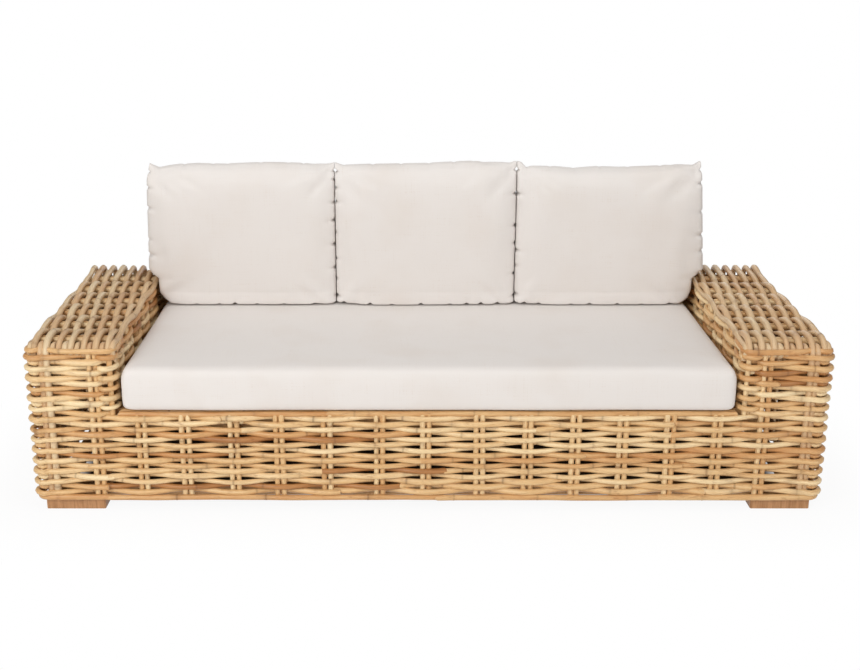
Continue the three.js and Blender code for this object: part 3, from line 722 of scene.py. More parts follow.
class Weave:
    """Every route, stake place and row height of the sofa's woven walls."""

    def __init__(self, sizes):
        self.sizes = sizes
        cane, radius = sizes.cane_diameter / 2, sizes.corner_radius
        inset = sizes.swing + cane
        self.end_x = x = half_width - inset
        self.front_y = front = -half_depth + inset
        self.rear_y = rear = half_depth - inset
        self.seat_x = seat = arm_inside + inset
        self.back_y = back = back_face + inset
        self.back_end_x = back_x = back_half_width - inset
        self.first_row = weave_bottom + cane - 0.3 * MM
        self.rim_height = seat_height - cane - 2.6 * MM
        self.arm_level = arm_top_height - sizes.top_swing - cane
        self.back_level = back_top_height - sizes.top_swing - cane
        self.stake_foot = self.first_row - 4 * MM
        self.seat_stake_foot = seat_height + 2 * MM

        right, left = [(x, front), (x, rear)], [(-x, rear), (-x, front)]
        tucked = front + TUCK
        self.base = Route(
            [(-x, front), *right, (-x, rear)], ["front", "arm_end_right", "rear", "arm_end_left"],
            radius, True,
        )
        self.horseshoe = Route(
            [(-seat, back), (seat, back), (seat, front), *right, *left, (-seat, front)],
            ["back_seat_side", "arm_seat_side_right", "arm_front_right", "arm_end_right", "rear",
             "arm_end_left", "arm_front_left", "arm_seat_side_left"], radius, True,
        )
        self.outside = Route(
            [(seat, tucked), (seat, front), *right, *left, (-seat, front), (-seat, tucked)],
            ["arm_front_right", "arm_front_right", "arm_end_right", "rear", "arm_end_left", "arm_front_left",
             "arm_front_left"], radius, False,
        )
        self.ends_and_rear = Route(
            [(x, tucked + 5 * MM), (x, rear), (-x, rear), (-x, tucked + 5 * MM)],
            ["arm_end_right", "rear", "arm_end_left"], radius, False,
        )
        self.seat_sides = Route(
            [(-seat, tucked), (-seat, back), (seat, back), (seat, tucked)],
            ["arm_seat_side_left", "back_seat_side", "arm_seat_side_right"], radius, False,
        )
        self.back_box = Route(
            [(-back_x, back), (back_x, back), (back_x, rear), (-back_x, rear)],
            ["back_seat_side", "back_end_right", "back_rear", "back_end_left"], radius, True,
        )

        turn = radius * (1 - math.sqrt(0.5))
        self.front_places = [(p, front) for p in FRONT_PAIRS]
        self.rear_places = [(p, rear) for p in np.linspace(FRONT_PAIRS[0], -FRONT_PAIRS[0], REAR_PAIRS)]
        self.back_places = [(p, back) for p, _ in between_arms(self.rear_places)]
        self.end_places, self.seat_places, self.inner_corners, self.back_end_places = {}, {}, {}, {}
        for side, sign in SIDE_SIGN.items():
            self.end_places[side] = [(sign * x, y) for y in END_PAIRS[side]]
            self.seat_places[side] = [(sign * seat, y) for y in END_PAIRS[side][:-1]]
            self.inner_corners[side] = [(sign * (seat + turn), front + turn)]
            self.back_end_places[side] = [(sign * back_x, (back + rear) / 2)]
        ends_and_rear = together(self.end_places) + self.rear_places
        seat_sides = together(self.seat_places) + self.back_places
        arm_fronts = [p for p in self.front_places if abs(p[0]) > arm_inside] + together(self.inner_corners)
        self.base.stake(self.front_places + ends_and_rear)
        self.horseshoe.stake(arm_fronts + ends_and_rear + seat_sides)
        self.outside.stake(arm_fronts + ends_and_rear)
        self.ends_and_rear.stake(ends_and_rear)
        self.seat_sides.stake(seat_sides)
        back_ends = together(self.back_end_places)
        self.back_box.stake(between_arms(self.rear_places) + self.back_places + back_ends)

    def straight(self, start, end, leg, places):
        """A route from one point to another, staked at those places."""
        route = Route([start, end], [leg], self.sizes.corner_radius, False)
        route.stake(places)
        return route

    def row_height(self, row):
        return self.first_row + row * self.sizes.row_pitch - max(row - RIM_ROW, 0) * CLOSER

    def border_height(self, side):
        return self.row_height(BORDER_ROW) + BORDER_RISE[side]


def wall_node(wall):
    """The node of the frame that a woven wall stands in for."""
    stem, _, side = wall.replace("arm_seat_side", "arm_seat").rpartition("_")
    return f"{stem}_weave_{side}" if side in SIDES else wall + "_weave"


def dress(weaver, finish):
    """Builds each gathered piece and sets it on the frame in place of its wall."""
    tree = sweep_tree(weaver.sizes.sides)
    for name, lines in weaver.lines.items():
        piece = lines.build(name, tree, finish)
        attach(piece, "frame")
        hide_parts(wall_node(name.rsplit("_", 1)[0]))


class SOFA_OT_walls(bpy.types.Operator):
    """Weave the walls of the base, the arms and the back"""

    bl_idname = "sofa.walls"
    bl_label = "Woven walls"

    BORDER_TONE = (0.36, 0.66)
    # The rim cane lies this far behind the line of the stakes, on their ends
    RIM_SET_BACK = 2 * MM
    HOOP_BEND = 18 * MM
    HOOP_SWAY = (0.8 * MM, 0.35)

    def execute(self, context):
        sizes = context.scene.sofa_weave
        weave, weaver = Weave(sizes), Weaver(sizes, sizes.seed)
        self.base_rows(weave, weaver)
        self.arm_and_back_rows(weave, weaver)
        self.uprights(weave, weaver)
        for side in SIDES:
            self.hoops(weave, weaver, side)
            self.arm_border(weave, weaver, side)
        dress(weaver, rattan("peeled_rattan_cane", context.scene.sofa_colours, 0.0))
        return {"FINISHED"}

    def rows(self, weave, weaver, route, place, numbers):
        """Woven rows of a route. The odd ones pass outside the stakes at that place."""
        for row in numbers:
            weaver.row(route, weave.row_height(row), route.phase(place, row))

    def base_rows(self, weave, weaver):
        """The rows under the seat, and the straight canes along their bottom and their front rim."""
        corner, out = weave.front_places[0], weave.sizes.swing
        weaver.row(weave.base, weave.row_height(0), offset=lambda s: out, tone=self.BORDER_TONE)
        self.rows(weave, weaver, weave.base, corner, range(1, RIM_ROW + 1))
        self.rows(weave, weaver, weave.outside, corner, range(RIM_ROW + 1, DECK_ROW))
        reach, front = arm_inside - 2 * MM, weave.front_y
        rim = weave.straight((-reach, front), (reach, front), "front", between_arms(weave.front_places))
        weaver.row(rim, weave.rim_height, offset=lambda s: -self.RIM_SET_BACK, tone=self.BORDER_TONE)
        weaver.row(rim, weave.rim_height + 1 * MM, offset=lambda s: -1.9 * out)

    def arm_and_back_rows(self, weave, weaver):
        """The rows that run round both arms and the back, then those of the back alone."""
        self.rows(weave, weaver, weave.horseshoe, weave.front_places[0], range(DECK_ROW, BORDER_ROW))
        top = weave.row_height(BORDER_ROW) - 1 * MM
        for route, place in (
            (weave.ends_and_rear, weave.rear_places[0]), (weave.seat_sides, weave.back_places[0]),
        ):
            weaver.row(route, top, route.phase(place, BORDER_ROW))
        back_rear = weave.straight(
            (arm_inside, weave.rear_y), (-arm_inside, weave.rear_y), "back_rear",
            between_arms(weave.rear_places),
        )
        back_front = weave.straight(
            (-arm_inside, weave.back_y), (arm_inside, weave.back_y), "back_seat_side", weave.back_places
        )
        for row in range(BORDER_ROW + 1, BACK_LOOP_ROW):
            self.rows(weave, weaver, back_rear, weave.rear_places[REAR_PAIRS // 2], [row])
            self.rows(weave, weaver, back_front, weave.back_places[len(weave.back_places) // 2], [row])
        end = weave.back_end_places["left"][0]
        self.rows(weave, weaver, weave.back_box, end, range(BACK_LOOP_ROW, BACK_TOP_ROW))

    def uprights(self, weave, weaver):
        """The stakes of the front, the rear and the back."""
        base, low, back_high = weave.base, weave.stake_foot, back_top_height - 30 * MM
        top = weave.row_height(BORDER_ROW) + 3 * MM
        rim = weave.rim_height - self.RIM_SET_BACK
        weaver.stakes("front_stakes", base, between_arms(weave.front_places), low, rim)
        for side in SIDES:
            on_arm = [p for p in weave.front_places if p[0] * SIDE_SIGN[side] > arm_inside]
            inner, corner = [min(on_arm, key=lambda p: abs(p[0]))], weave.inner_corners[side]
            piece = f"arm_front_{side}_stakes"
            weaver.stakes(piece, base, inner, low, top)
            weaver.stakes(piece, weave.horseshoe, corner, weave.rim_height, top, single=True)
            end, foot = weave.back_end_places[side], arm_top_height + 2 * MM
            weaver.stakes(f"back_end_{side}_stakes", weave.back_box, end, foot, back_high)
        low_rear = [p for p in weave.rear_places if abs(p[0]) > arm_inside]
        weaver.stakes("rear_stakes", base, low_rear, low, top)
        weaver.stakes("rear_stakes", base, between_arms(weave.rear_places), low, back_high)
        places, foot = weave.back_places, weave.seat_stake_foot
        weaver.stakes("back_seat_side_stakes", weave.back_box, places, foot, back_high)

    def hoops(self, weave, weaver, side):
        """The stakes of an arm's end: they bend over, cross the top and go down the seat side."""
        sizes, sign = weaver.sizes, SIDE_SIGN[side]
        x, seat, level = weave.end_x, weave.seat_x, weave.arm_level
        for y in END_PAIRS[side]:
            # The rearmost pair meets the end of the back, so it ends just under the top
            foot = level - 40 * MM if y == END_PAIRS[side][-1] else weave.seat_stake_foot
            hoop = Route(
                [(x, weave.stake_foot), (x, level), (seat, level), (seat, foot)], ["end", "top", "seat"],
                self.HOOP_BEND, False,
            )
            for half in (-0.5, 0.5):
                at = y + half * sizes.stake_gap
                sway = weaver.wander(*self.HOOP_SWAY)

                def path(s, at=at, sway=sway):
                    plan = hoop.at(s)[0]
                    return np.column_stack([sign * plan[:, 0], at + sway(s), plan[:, 1]])

                radius = sizes.stake_diameter / 2 * weaver.random.uniform(0.95, 1.05)
                weaver.cane(
                    f"arm_end_{side}_stakes", path, 0.0, hoop.length, radius, hoop.turns, slanted=False,
                    tone=weaver.STAKE_TONE,
                )

    def arm_border(self, weave, weaver, side):
        """The border cane across an arm's front, round both corners and tucked in behind them."""
        sign, out, front = SIDE_SIGN[side], weave.sizes.swing, weave.front_y
        x, seat, height = sign * weave.end_x, sign * weave.seat_x, weave.border_height(side)
        tuck = height - 5 * MM
        way = 1 if side == "left" else -1
        corners = [(x, -0.10), (x, front), (seat, front), (seat, front + 0.19)][::way]
        legs = ["arm_end", "arm_front", "arm_seat"][::way]
        route = Route(corners, legs, weaver.sizes.corner_radius, False)
        outer, inner = route.nearest(x, front), route.nearest(seat, front)
        stakes = route.nearest(sign * abs(weave.front_places[0][0]), front)
        ends = (0.0, route.length)[::way]
        # Distances along the route with the height there, and with how far out the cane lies there
        heights = [
            (ends[0], tuck), (outer, height), (inner, height), (inner + way * 0.12, height + 4 * MM),
            (ends[1], tuck),
        ]
        aside = [
            (ends[0], -6 * MM), (outer - way * 70 * MM, 0.3 * out), (outer - way * 3 * MM, 1.4 * out),
            (stakes - way * 3 * MM, -0.45 * out), (stakes + way * 8 * MM, -0.45 * out),
            (stakes + way * 62 * MM, out), (inner + way * 60 * MM, out), (ends[1], -out),
        ]
        weaver.row(
            route, 0.0, piece=f"arm_front_{side}_canes", lift=lambda s: eased(s, heights[::way]),
            offset=lambda s: eased(s, aside[::way]), tone=self.BORDER_TONE,
        )


class SOFA_OT_tops(bpy.types.Operator):
    """Weave the tops of the arms and of the back"""

    bl_idname = "sofa.tops"
    bl_label = "Woven tops"

    TOP_CANES = 15
    # The canes of an arm top that go on down to the ground as a pair of front stakes, from the outer edge
    FROM_STAKES = (2, 3)
    BACK_CANES = 7
    BACK_BEND = 20 * MM
    TOP_SWAY = (0.9 * MM, 0.5)
    STAKE_SWAY = (0.6 * MM, 0.3)
    # Half of the stretch over which a cane passes level over or under a pair of cross stakes
    LEVEL_HALF = 6 * MM
    # Least length of the last cane of a top
    LAST_CANE = 0.2

    def execute(self, context):
        sizes = context.scene.sofa_weave
        weave, weaver = Weave(sizes), Weaver(sizes, sizes.seed + 1)
        for side in SIDES:
            self.arm_top(weave, weaver, side)
        self.back_top(weave, weaver)
        # The tops' canes get a share of painted shade, a darker, greyer colour
        dress(weaver, rattan("shaded_top_rattan_cane", context.scene.sofa_colours, 0.36))
        return {"FINISHED"}

    def top_cane(self, weaver, piece, profile, place, knots, end, jointed):
        """One cane over a top: knots give how far it passes above or below the cross stakes."""
        sizes = weaver.sizes
        sway = weaver.wander(*self.TOP_SWAY)
        edge = weaver.random.normal(0, 0.5 * MM)

        def path(s):
            plan, outward = profile.at(s)
            plan = plan + outward * (sizes.top_swing * eased(s, knots))[:, None]
            return place(plan, sway(s) + edge)

        joints = [0.0, end]
        if jointed:
            joints = weaver.joints(0.0, end, np.array([k[0] for k in knots[3:-3]]))
            joints = [s for s in joints if s in (0.0, end) or s < end - self.LAST_CANE]
        for s0, s1 in zip(joints, joints[1:]):
            radius = weaver.cane_radius() * sizes.top_thickness
            weaver.cane(piece, path, s0 + 0.6 * MM, s1 - 0.6 * MM, radius, profile.turns)

    def crossings(self, profile, level, places, first, highest, lowest):
        """Knots at the cross stakes: above the first where it is even, and then in turn below and above."""
        knots = []
        for k, place in enumerate(places):
            s = profile.nearest(place, level)
            value = highest if (k + first) % 2 == 0 else lowest
            knots += [(s - self.LEVEL_HALF, value), (s + self.LEVEL_HALF, value)]
        return knots

    def arm_top(self, weave, weaver, side):
        """The canes from the rear edge over the cross stakes and down behind the front border."""
        sizes, sign = weaver.sizes, SIDE_SIGN[side]
        border, level = weave.border_height(side), weave.arm_level
        for j in range(self.TOP_CANES):
            over, edge, from_stake = j % 2, j in (0, self.TOP_CANES - 1), j in self.FROM_STAKES
            low = weave.stake_foot if from_stake else border - 90 * MM
            profile = Route(
                [(weave.rear_y, border - 30 * MM), (weave.rear_y, level), (weave.front_y, level),
                 (weave.front_y, low)],
                ["rear", "top", "front"], (0.0, sizes.rear_bend, sizes.front_bend, 0.0), False,
            )
            x = half_width - 9 * MM - j * sizes.top_pitch
            if edge:
                x += 6 * MM if j else -6 * MM
            rear_at, front_at = (profile.nearest(y, border) for y in (weave.rear_y, weave.front_y))
            rise = (-0.6, -0.4, 0.1) if over else (0.4, 0.8, 1.3)
            knots = list(zip((0.0, rear_at, rear_at + 22 * MM), rise))
            highest, lowest = (0.5, -0.25) if edge else (1.0, -1.0)
            knots += self.crossings(profile, level, END_PAIRS[side][::-1], over, highest, lowest)
            tail = 0.0 if from_stake else -1.2
            knots += [
                (front_at, 0.45 if from_stake or over else 0.3), (front_at + 24 * MM, tail),
                (profile.length + 1 * MM, tail),
            ]

            def place(plan, shift, x=x):
                return np.column_stack([sign * (x + shift), plan])

            end = profile.length if from_stake else front_at + 30 * MM
            jointed = not from_stake and weaver.random.random() < 0.5
            self.top_cane(weaver, f"arm_top_{side}_canes", profile, place, knots, end, jointed)

    def back_top(self, weave, weaver):
        """The canes from end to end over the back, and the stakes that they cross."""
        sizes, reach, level = weaver.sizes, weave.back_end_x, weave.back_level
        height = weave.row_height(BACK_TOP_ROW - 1)
        profile = Route(
            [(reach, height - 30 * MM), (reach, level), (-reach, level), (-reach, height - 30 * MM)],
            ["end", "top", "end"], (0.0, self.BACK_BEND, self.BACK_BEND, 0.0), False,
        )
        places = [x for x, _ in weave.back_places]
        inset = sizes.cane_diameter / 2
        for j, y in enumerate(np.linspace(back_face + inset, half_depth - inset, self.BACK_CANES)):
            lowest = -0.1 if j in (0, self.BACK_CANES - 1) else -1.0
            knots = [(0.0, -0.6), (profile.nearest(reach, height), -0.6)]
            knots += self.crossings(profile, level, places[::-1], j, 1.0, lowest)
            knots += [(profile.nearest(-reach, height), -0.6), (profile.length, -0.6)]

            def place(plan, shift, y=y):
                return np.column_stack([plan[:, 0], y + shift, plan[:, 1]])

            self.top_cane(weaver, "back_top_canes", profile, place, knots, profile.length, True)
        start, end, radius = back_face + 9 * MM, half_depth - 9 * MM, sizes.stake_diameter / 2
        for x in places:
            for half in (-0.5, 0.5):
                at = x + half * sizes.stake_gap
                sway = weaver.wander(*self.STAKE_SWAY)

                def path(s, at=at, sway=sway):
                    return np.column_stack([at + sway(s), s, np.full(len(s), level)])

                weaver.cane("back_top_stakes", path, start, end, radius)


def grained(name, light, dark, along, roughness):
    """Sawn or planed timber whose grain runs along one axis, 0 to 2 for X to Z, with growth rings."""
    material, tree = new_material(name)
    place = add_node(tree, "ShaderNodeTexCoord").outputs["Object"]
    stretch = [1.0, 1.0, 1.0]
    stretch[along] = 0.06
    grain = add_node(tree, "ShaderNodeMapping", {"Vector": place}, {"Scale": stretch})
    # Growth rings about 6 mm apart, pores about 0.7 mm wide, and patches about 70 mm wide
    rings, pores, patches = (
        add_node(
            tree, "ShaderNodeTexNoise", {"Vector": source},
            {"Scale": scale, "Detail": 2.0, "Distortion": bend},
        )
        for source, scale, bend in ((grain, 160.0, 0.6), (grain, 1400.0, 0.0), (place, 14.0, 0.0))
    )
    level = add_node(tree, "ShaderNodeMath", {0: pores, 2: rings}, {1: 0.35}, operation="MULTIPLY_ADD")
    level = add_node(tree, "ShaderNodeMath", {0: patches, 2: level}, {1: 0.5}, operation="MULTIPLY_ADD")
    level = add_node(tree, "ShaderNodeMapRange", {"Value": level}, {"From Min": 0.62, "From Max": 1.22})
    wood = add_node(tree, "ShaderNodeValToRGB", {"Fac": level}, stops=((0.0, dark), (1.0, light)))
    gloss = add_node(
        tree, "ShaderNodeMapRange", {"Value": level}, {"To Min": roughness + 0.08, "To Max": roughness - 0.05}
    )
    relief = add_node(tree, "ShaderNodeBump", {"Height": pores}, {"Strength": 0.35, "Distance": 0.3 * MM})
    shader = add_node(
        tree, "ShaderNodeBsdfPrincipled", {"Base Color": wood, "Roughness": gloss, "Normal": relief}
    )
    add_node(tree, "ShaderNodeOutputMaterial", {"Surface": shader})
    return material


def zinc(colours):
    """Bright zinc plated steel with a fine spangle, about 2 mm across."""
    material, tree = new_material("zinc_plated_steel")
    place = add_node(tree, "ShaderNodeTexCoord").outputs["Object"]
    spangle = add_node(tree, "ShaderNodeTexVoronoi", {"Vector": place}, {"Scale": 500.0})
    gloss = add_node(tree, "ShaderNodeMapRange", {"Value": spangle}, {"To Min": 0.28, "To Max": 0.46})
    shader = add_node(
        tree, "ShaderNodeBsdfPrincipled", {"Roughness": gloss},
        {"Base Color": linear(colours.steel), "Metallic": 1.0},
    )
    add_node(tree, "ShaderNodeOutputMaterial", {"Surface": shader})
    return material


def linen(name, colours):
    """Plain woven outdoor linen: slubbed threads about 0.8 mm apart both ways, and faint warm marks."""
    material, tree = new_material(name)
    place = add_node(tree, "ShaderNodeTexCoord").outputs["Object"]
    axes = add_node(tree, "ShaderNodeSeparateXYZ", {"Vector": place}).outputs
    down = add_node(tree, "ShaderNodeMath", {0: axes["Y"], 1: axes["Z"]}, operation="ADD")
    cloth = add_node(tree, "ShaderNodeCombineXYZ", {"X": axes["X"], "Y": down})

    def threads(fine, long):
        """Threads that are fine one way and long the other, running both ways over the cloth."""
        for scale in ((fine, long, 1.0), (long, fine, 1.0)):
            at = add_node(tree, "ShaderNodeMapping", {"Vector": cloth}, {"Scale": scale})
            yield add_node(tree, "ShaderNodeTexNoise", {"Vector": at}, {"Scale": 1.0, "Detail": 1.0})

    # Threads are 0.8 mm apart and change every 25 mm, slubs are 3 mm wide and 110 mm long
    weave = add_node(tree, "ShaderNodeMath", dict(enumerate(threads(1250.0, 40.0))), operation="MAXIMUM")
    slubs = add_node(tree, "ShaderNodeMath", dict(enumerate(threads(330.0, 9.0))), operation="ADD")
    marks = add_node(tree, "ShaderNodeTexNoise", {"Vector": place}, {"Scale": 4.5, "Detail": 3.0})
    level = add_node(tree, "ShaderNodeMath", {0: weave, 2: slubs}, {1: 0.5}, operation="MULTIPLY_ADD")
    level = add_node(tree, "ShaderNodeMapRange", {"Value": level}, {"From Min": 0.5, "From Max": 1.6})
    tones = ((0.0, colours.linen_shade), (0.55, colours.linen), (1.0, colours.linen))
    pale = add_node(tree, "ShaderNodeValToRGB", {"Fac": level}, stops=tones)
    share = add_node(
        tree, "ShaderNodeMapRange", {"Value": marks}, {"From Min": 0.5, "From Max": 0.8, "To Max": 0.35}
    )
    toned = add_node(
        tree, "ShaderNodeMix", {0: share, 6: pale}, {7: linear(colours.linen_shade)}, data_type="RGBA"
    ).outputs[2]
    relief = add_node(tree, "ShaderNodeBump", {"Height": weave}, {"Strength": 0.4, "Distance": 0.25 * MM})
    relief = add_node(
        tree, "ShaderNodeBump", {"Height": slubs, "Normal": relief}, {"Strength": 0.25, "Distance": 0.4 * MM}
    )
    shader = add_node(
        tree, "ShaderNodeBsdfPrincipled", {"Base Color": toned, "Normal": relief},
        {"Roughness": 0.92, "Sheen Weight": 0.15, "Sheen Roughness": 0.5, "Specular IOR Level": 0.25},
    )
    add_node(tree, "ShaderNodeOutputMaterial", {"Surface": shader})
    return material


class SOFA_OT_finishes(bpy.types.Operator):
    """Give the timber, the feet and the screws their finishes"""

    bl_idname = "sofa.finishes"
    bl_label = "Timber, feet and screws"

    def execute(self, context):
        colours = context.scene.sofa_colours
        pine = [
            grained(f"planed_pine_along_{axis}", colours.timber, colours.timber_grain, k, 0.55)
            for k, axis in enumerate("xyz")
        ]
        foot = grained("sawn_and_oiled_hardwood", colours.foot, colours.foot_grain, 2, 0.5)
        steel = zinc(colours)
        for name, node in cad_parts.items():
            low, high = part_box(name)
            finish = pine[max(range(3), key=lambda k: high[k] - low[k])]
            if name.startswith("foot_"):
                finish = steel if name.startswith("foot_screw") else foot
            for slot in node.material_slots:
                slot.material = finish
        return {"FINISHED"}


def coordinates(piece):
    values = np.zeros(len(piece.data.vertices) * 3)
    piece.data.vertices.foreach_get("co", values)
    return values.reshape(-1, 3)


def move_to(piece, places):
    piece.data.vertices.foreach_set("co", np.ascontiguousarray(places).ravel())
    piece.data.update()


def settle(piece):
    """Replaces the piece's mesh by what its modifiers make of it."""
    made = evaluated(piece)
    piece.modifiers.clear()
    piece.data = made


def from_shape(name, shape):
    """An object made of that bmesh, which is then freed."""
    mesh = bpy.data.meshes.new(name)
    shape.to_mesh(mesh)
    shape.free()
    return placed(name, mesh)


def block(name, half, cuts=0):
    """A box about the origin, cut evenly."""
    shape = bmesh.new()
    bmesh.ops.create_cube(shape, size=2.0)
    bmesh.ops.scale(shape, vec=half, verts=shape.verts)
    if cuts:
        bmesh.ops.subdivide_edges(shape, edges=shape.edges, cuts=cuts, use_grid_fill=True)
    return from_shape(name, shape)


def remesh(piece, voxel):
    modifier = piece.modifiers.new("cover", "REMESH")
    modifier.mode = "VOXEL"
    modifier.voxel_size = voxel
    settle(piece)


def fill(piece, sizes, stitched, reach):
    """Blows the cover up with its filling. Points that are stitched stay where they are."""
    scene = bpy.context.scene
    before = coordinates(piece)
    held = piece.vertex_groups.new(name="stitches")
    held.add(np.flatnonzero(stitched).tolist(), 1.0, "REPLACE")
    cloth = piece.modifiers.new("filling", "CLOTH")
    settings = cloth.settings
    settings.quality = 5
    settings.mass = 0.1
    settings.tension_stiffness = settings.compression_stiffness = 40.0
    settings.shear_stiffness = 20.0
    settings.bending_stiffness = 1.0
    settings.use_pressure = True
    settings.uniform_pressure_force = sizes.pressure
    settings.effector_weights.gravity = 0.0
    settings.vertex_group_mass = held.name
    cloth.collision_settings.use_collision = False
    cloth.point_cache.frame_start = 1
    cloth.point_cache.frame_end = sizes.frames
    for step in range(1, sizes.frames + 1):
        scene.frame_set(step)
    settle(piece)
    scene.frame_set(1)
    moved = coordinates(piece) - before
    far = np.maximum(np.linalg.norm(moved, axis=1), 1e-9)
    share = reach * (1 - np.exp(-far / reach)) / far
    move_to(piece, before + moved * share[:, None])


def soften(piece):
    """Evens the cover out and subdivides it once."""
    evened = piece.modifiers.new("evened", "SMOOTH")
    evened.factor = 0.5
    evened.iterations = 10
    piece.modifiers.new("cover", "SUBSURF").levels = 1
    settle(piece)


def rippled(places, seed, size, length):
    """Soft dents of that height and length at those places."""
    wave = np.random.default_rng(seed)
    count = 7
    total = np.zeros(len(places))
    for _ in range(count):
        way = wave.normal(0, 1, 3)
        way *= 2 * math.pi / (length * wave.uniform(0.6, 1.8) * np.linalg.norm(way))
        total += np.sin(places @ way + wave.uniform(0, 2 * math.pi))
    return total * size / count ** 0.5


def fit(places, low, high, soft):
    """Keeps points inside the box, easing them in over the last soft distance of each axis."""
    for k in range(3):
        for sign, limit in ((1.0, high[k]), (-1.0, -low[k])):
            over = sign * places[:, k] - (limit - soft[k])
            eased_in = soft[k] * (1 - np.exp(-np.maximum(over, 0) / soft[k]))
            places[:, k] = np.where(over > 0, sign * (limit - soft[k] + eased_in), places[:, k])
    return places


def upholster(piece, places, finish, node):
    """Gives a cover its last shape and its cloth, and sets it on the frame in place of its cushion."""
    move_to(piece, places)
    piece.data.polygons.foreach_set("use_smooth", np.ones(len(piece.data.polygons), bool))
    piece.data.materials.append(finish)
    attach(piece, node)
    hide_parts(node)


class SOFA_OT_back_cushions(bpy.types.Operator):
    """Sew and fill the three back cushions"""

    bl_idname = "sofa.back_cushions"
    bl_label = "Back cushions"

    # How far each top sags in mm, at shares of the way from the middle to either side
    TOPS = {
        "left": (
            (-1.0, 13), (-0.9, 20), (-0.8, 13), (-0.7, 9), (-0.5, 6), (-0.25, 9), (0.2, 6),
            (0.65, 9), (1.0, 8),
        ),
        "middle": ((-1.0, 7), (-0.9, 11), (-0.7, 9), (0.0, 8), (0.5, 2), (0.85, 2), (0.93, 4), (1.0, 0)),
        "right": (
            (-1.0, 4), (-0.95, 6), (-0.9, 19), (-0.82, 16), (-0.58, 17), (-0.37, 23), (-0.12, 17),
            (0.13, 20), (0.4, 17), (0.56, 15), (0.75, 9), (0.93, 11), (1.0, 1),
        ),
    }
    # How far the outer side swells over the arm, in mm, just above the arm and near the top
    SWELLS = {"left": (32, 20), "middle": (0, 0), "right": (38, 12)}
    SWELL_BELOW, SWELL_RISE = 2 * MM, 32 * MM
    SEED = 11
    CUTS = 40
    # The panels start this much thinner than their space at the front and at the back
    THINNER = 9 * MM
    # The sides are drawn out to this far past the space before they are eased into it
    STRETCH = 3 * MM
    BAND = 8 * MM
    # The lower edges stand out and down over this height, so that the cushion stands square on the seat
    LOW_EDGE, LOW_DROP, LOW_SPREAD = 45 * MM, 11 * MM, 0.26
    # Gaps to the space, and lengths over which the cover is eased into it, for each axis
    MARGIN = np.array([0.1, 0.6, 0.6]) * MM
    SOFT = np.array([0.6, 2.0, 1.2]) * MM
    # Height and length of the dents in the faces and in the top
    FACE_DENTS, TOP_DENTS = (1.6 * MM, 0.22), (2.0 * MM, 0.30)
    # Stitches are held within this distance, and this far either way from the middle of the seam
    STITCH_HELD, SEAM_HELD = 11 * MM, 20 * MM
    # In mm: from a corner to its first stitch, from one to the next, and the least left after the last
    FIRST_STITCH, NEXT_STITCH, LAST_STITCH = (24, 34), (48, 112), 50
    # A notch's width at the seam and how it spreads, how far its fold runs, and how deep the fold is
    NOTCH, NOTCH_SPREAD = 6 * MM, 0.35
    FOLD, FOLD_BY_DEPTH, FOLD_DEPTH = 8 * MM, 16 * MM, 3 * MM
    SEAM_HALF = 12 * MM
    EAR_REACH = 30 * MM

    def execute(self, context):
        scene = context.scene
        cover = linen("slubbed_linen_back", scene.sofa_colours)
        for number, place in enumerate(("left", "middle", "right")):
            self.cushion("back_cushion_" + place, place, scene.sofa_cushions, self.SEED + number, cover)
        return {"FINISHED"}

    def cushion(self, node, place, sizes, seed, cover):
        """Two panels sewn together round the edge, puckered at uneven stitches, with pointed corners."""
        low, high = (np.array(c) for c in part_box(node))
        centre, space = (low + high) / 2, (high - low) / 2
        half = space - np.array([sizes.slack, self.THINNER, sizes.slack])
        outer = {"left": -1.0, "middle": 0.0, "right": 1.0}[place]
        piece = block(node + "_cover", half, self.CUTS)
        move_to(piece, self.panels(coordinates(piece), half, outer, sizes))
        remesh(piece, sizes.back_detail)
        stitches = self.stitches(np.random.default_rng(seed), half)
        at = coordinates(piece)
        near = np.min(np.hypot(*(at[:, None, (0, 2)] - stitches[None, :, :2]).transpose(2, 0, 1)), axis=1)
        fill(piece, sizes, (near < self.STITCH_HELD) & (np.abs(at[:, 1]) < self.SEAM_HELD), sizes.reach)
        soften(piece)
        places = self.stretched(coordinates(piece), space[0] + self.STRETCH, outer, sizes)
        low_edge = clipped((self.LOW_EDGE - places[:, 2] - half[2]) / self.LOW_EDGE)
        places[:, 2] -= self.LOW_DROP * low_edge * clipped(np.abs(places[:, 1]) / half[1]) ** 5
        places[:, 1] *= 1 + self.LOW_SPREAD * low_edge
        places = self.pucker(places, stitches, sizes, half)
        sag = np.interp(places[:, 0] / half[0], *np.array(self.TOPS[place]).T) * MM
        places[:, 2] -= sag * clipped(places[:, 2] / half[2]) ** 4
        faces = np.sign(places[:, 1]) * clipped(np.abs(places[:, 1]) / half[1])
        places[:, 1] += faces * rippled(places, seed, *self.FACE_DENTS)
        places[:, 2] += clipped(places[:, 2] / half[2]) ** 4 * rippled(places, seed + 50, *self.TOP_DENTS)
        places = fit(places, low - centre + self.MARGIN, high - centre - self.MARGIN, self.SOFT)
        above = places[:, 2] + centre[2] - arm_top_height
        by_arm = clipped(outer * places[:, 0] / half[0]) ** 5
        places[:, 0] += outer * by_arm * self.swell(above, high[2] - arm_top_height, place)
        upholster(piece, places + centre, cover, node)

    def panels(self, places, half, outer, sizes):
        """The panels are crowned: thin along the top, thicker at the sides, square where they stand."""
        u, w = np.abs(places[:, 0]) / half[0], places[:, 2] / half[2]
        crown = 1 - u ** 7 - np.where(w > 0, w ** 7, 0.3 * w ** 30)
        seam = sizes.seam_edge / 2 * (1 - 0.6 * clipped(w) ** 8)
        depth = seam + (half[1] - seam) * np.sqrt(np.maximum(crown, 0))
        places[:, 1] *= depth / half[1]
